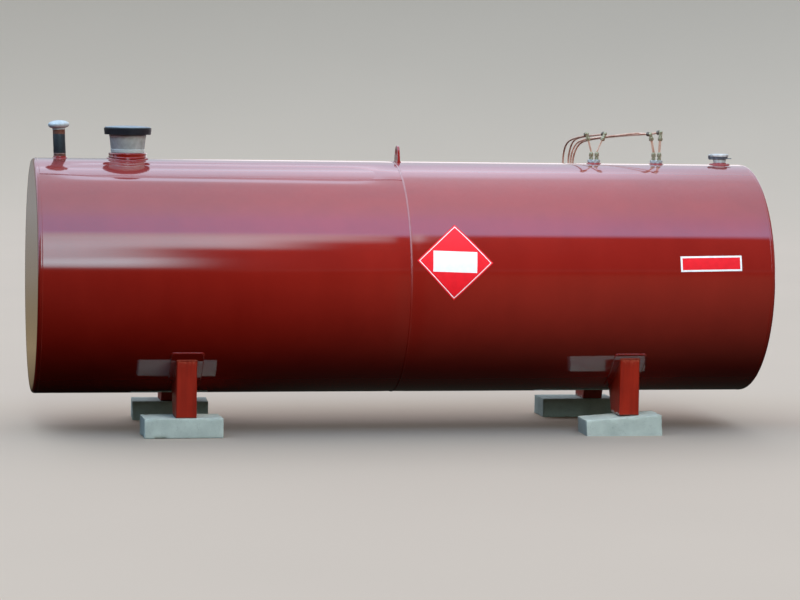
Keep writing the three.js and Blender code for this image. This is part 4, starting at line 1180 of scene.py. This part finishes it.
def smooth_route(points):
    """Even steps along a smooth curve through points, eased by the distances between them."""
    ends = [points[0] * 2 - points[1], *points, points[-1] * 2 - points[-2]]
    line = []
    for four in zip(ends, ends[1:], ends[2:], ends[3:]):
        knots = [0.0]
        for a, b in zip(four, four[1:]):
            knots.append(knots[-1] + (b - a).length ** 0.5)
        for k in range(ROUTE_STEPS):
            t = knots[1] + (knots[2] - knots[1]) * k / ROUTE_STEPS
            spots = list(four)
            for first, last in ((0, 1), (0, 2), (1, 2)):
                shares = [(t - start) / (end - start) for start, end in zip(knots[first:], knots[last:])]
                spots = [a.lerp(b, share) for a, b, share in zip(spots, spots[1:], shares)]
            line.append(spots[0])
    return [*line, points[-1]]


def tube(name, line, radius):
    """A round tube along a line of points."""
    rings = []
    across = (line[1] - line[0]).orthogonal().normalized()
    for i, point in enumerate(line):
        along = (line[min(i + 1, len(line) - 1)] - line[max(i - 1, 0)]).normalized()
        across = (across - along * across.dot(along)).normalized()
        other = along.cross(across)
        rings.append([point + (across * cos(turn) + other * sin(turn)) * radius
                      for turn in full_turn(TUBE_SIDES)])
    return skin(name, rings)


line_foot = {}
for side in ("left", "right"):
    foot = line_foot[side] = crest_under(f"line_coupling_{side}")
    dress(turned(f"line_socket_{side}", [
        (26.0, (0,)), (35.0, (0,)), (35.5, (1.0,)), (35.5, 3.6), (34.6, 5.0), (31.0, 5.0), (31.0, 3.2),
        (26.0, 3.2), (26.0, (0,)),
    ], foot), SHELL_PAINT, f"line_coupling_{side}")
    foot_weld(f"line_socket_bead_{side}", foot, 36.5, 3.4)
    blunt, full = flats(8, 32.0, 32.6), flats(8, 32.0, 34.4)
    dress(turned(f"line_plug_{side}", [
        (0, 3.6), (30.1, 3.6), (30.1, 5.4), (31.5, 5.4), (blunt, 5.8), (full, 7.4), (full, 18.8),
        (blunt, 20.4), (31.0, BUSHING_TOP), (0, BUSHING_TOP),
    ], foot, sides=96), ZINC, f"line_bushing_{side}")


def above(x, y, z):
    """A point in millimetres along the tank, across it and above its crest, in the frame."""
    return Vector((x * MM, y * MM, TOP + z * MM))


def fuel_line(number, side, tapping, corner_at, leg_length, riser_radius, drop, route):
    foot = line_foot[side] + Vector((tapping, 0, BUSHING_TOP + JOIN)) * MM
    top = foot + UP * CONNECTOR * MM
    corner = above(*corner_at)
    along = (corner - top).normalized()
    connector = [(0, 0), *nut(9.4, 0, 13.5), (7.8, 13.9), (7.8, 17.2), *nut(10.6, 17.6, 35.5), (9.6, 36.4),
                 (8.2, 40.0), (riser_radius + 1.0, CONNECTOR), (0, CONNECTOR)]
    dress(turned(f"connector_{number}", connector, foot, sides=60, sharp=25), BRASS,
          f"riser_{number}")
    leg_foot = corner - along * leg_length * MM
    riser_line = [top - UP * SCREWED_IN * MM, top, leg_foot + along * 6 * MM]
    dress(tube(f"riser_tube_{number}", riser_line, riser_radius * MM), COPPER)
    leg_profile = [(0, 0), (riser_radius + 1.2, 0), *nut(11.4, 1.6, 17.6), (9.4, 18.4), (9.0, 20.0),
                   (9.4, leg_length), (0, leg_length)]
    dress(turned(f"elbow_leg_{number}", leg_profile, leg_foot, along, sides=60, sharp=25), BRASS,
          f"elbow_{number}")
    ball = [(ELBOW_REACH * sin(turn), -ELBOW_REACH * cos(turn)) for turn in arc(0, 180, 15)]
    dress(turned(f"elbow_corner_{number}", ball, corner, sides=40), BRASS)
    towards = (above(*route[0]) - corner).normalized()
    outlet = [(0, 0), (9.2, 0), (9.2, 8.4), *nut(11.4, 8.8, 24.0), (9.6, 24.8), (LINE_RADIUS + 1.2, OUTLET),
              (0, OUTLET)]
    dress(turned(f"elbow_nut_{number}", outlet, corner, towards, sides=60, sharp=25), DARK_BRASS)
    mouth = corner + towards * (OUTLET + JOIN) * MM
    route = [*route, (drop, DROP_ACROSS, DROP_FROM), (drop, DROP_ACROSS, DROP_TO)]
    points = [mouth, mouth + towards * SCREWED_IN * MM, *[above(*spot) for spot in route]]
    copper = tube(f"copper_line_{number}", smooth_route(points), LINE_RADIUS * MM)
    dress(copper, COPPER, f"fuel_line_{number}")


for number, line in enumerate(LINES, start=1):
    fuel_line(number, *line)


# The plates on the front: a red diamond with a white line inside its edge and a blank white panel, and a
# long red plate with a white edge. Both are vinyl on thin sheet, stuck to the curve of the shell, and blank.
VINYL_RED = (0.860, 0.012, 0.022)
VINYL_WHITE = (0.90, 0.92, 0.92)
SHEET_LIFT, SHEET_THICK = 1.4, 1.2
VINYL_LIFT, VINYL_THICK = 1.6, 0.3
VINYL_FADE = 0.90
PLATE_CUTS, PLATE_RINGS = 24, 12


def vinyl(colour):
    """Vinyl sheet, a little faded in patches."""
    faded = tuple(c * VINYL_FADE for c in colour)
    return mottled((30, 4), (320, 2), 1, [(0.3, faded), (0.6, colour)], (0.38, 0.12), 0.01)


RED_VINYL = finish("red_vinyl", vinyl(VINYL_RED), IOR=1.4)
WHITE_VINYL = finish("white_vinyl", vinyl(VINYL_WHITE), IOR=1.4)


def stuck_sheet(name, outline, hole, spot, lift, thick, material):
    """A thin sheet on the front of the shell. Outline and hole are loops of (across, up) in millimetres, with
    the same number of corners, about a spot: its place along the tank, its angle above the axis, its turn."""
    centre_x, angle, turn = spot
    tilt = radians(turn)

    def on_shell(point, stand):
        across, up = point
        x = centre_x + across * cos(tilt) - up * sin(tilt)
        climb = across * sin(tilt) + up * cos(tilt)
        return round_tank(x * MM, RADIUS + stand * MM, radians(angle) + climb * MM / RADIUS)

    def loop(corners, stand):
        points = []
        for (a, b), (c, d) in zip(corners, corners[1:] + corners[:1]):
            for i in range(PLATE_CUTS):
                points.append(on_shell((a + (c - a) * i / PLATE_CUTS, b + (d - b) * i / PLATE_CUTS), stand))
        return points

    inner = hole or [(0.0, 0.0)] * len(outline)
    rings = [loop(outline, lift - thick)]
    for step in range(PLATE_RINGS + 1):
        share = step / PLATE_RINGS
        corners = [(a + (c - a) * share, b + (d - b) * share) for (a, b), (c, d) in zip(outline, inner)]
        rings.append(loop(corners, lift))
    if hole:
        rings.append(loop(inner, lift - thick))
    dress(skin(name, rings, caps=False, sharp=40), material)


def rectangle(width, height):
    x, y = width / 2, height / 2
    return [(-x, -y), (x, -y), (x, y), (-x, y)]


def diamond(diagonal):
    half = diagonal / 2
    return [(0, -half), (half, 0), (0, half), (-half, 0)]


DIAMOND_SPOT = (204.0, 11.25, -1.8)
LONG_SPOT = (1564.0, 10.75, 1.1)
for name, outline, hole, spot, material in (
    ("diamond_line", diamond(377), diamond(367), DIAMOND_SPOT, WHITE_VINYL),
    ("diamond_panel", rectangle(228.6, 107.6), None, DIAMOND_SPOT, WHITE_VINYL),
    ("long_plate_field", rectangle(311, 62), None, LONG_SPOT, RED_VINYL),
):
    stuck_sheet(name, outline, hole, spot, VINYL_LIFT, VINYL_THICK, material)
stuck_sheet("diamond_plate", diamond(396), None, DIAMOND_SPOT, SHEET_LIFT, SHEET_THICK, RED_VINYL)
stuck_sheet("long_plate", rectangle(330, 80.8), None, LONG_SPOT, SHEET_LIFT, SHEET_THICK, WHITE_VINYL)
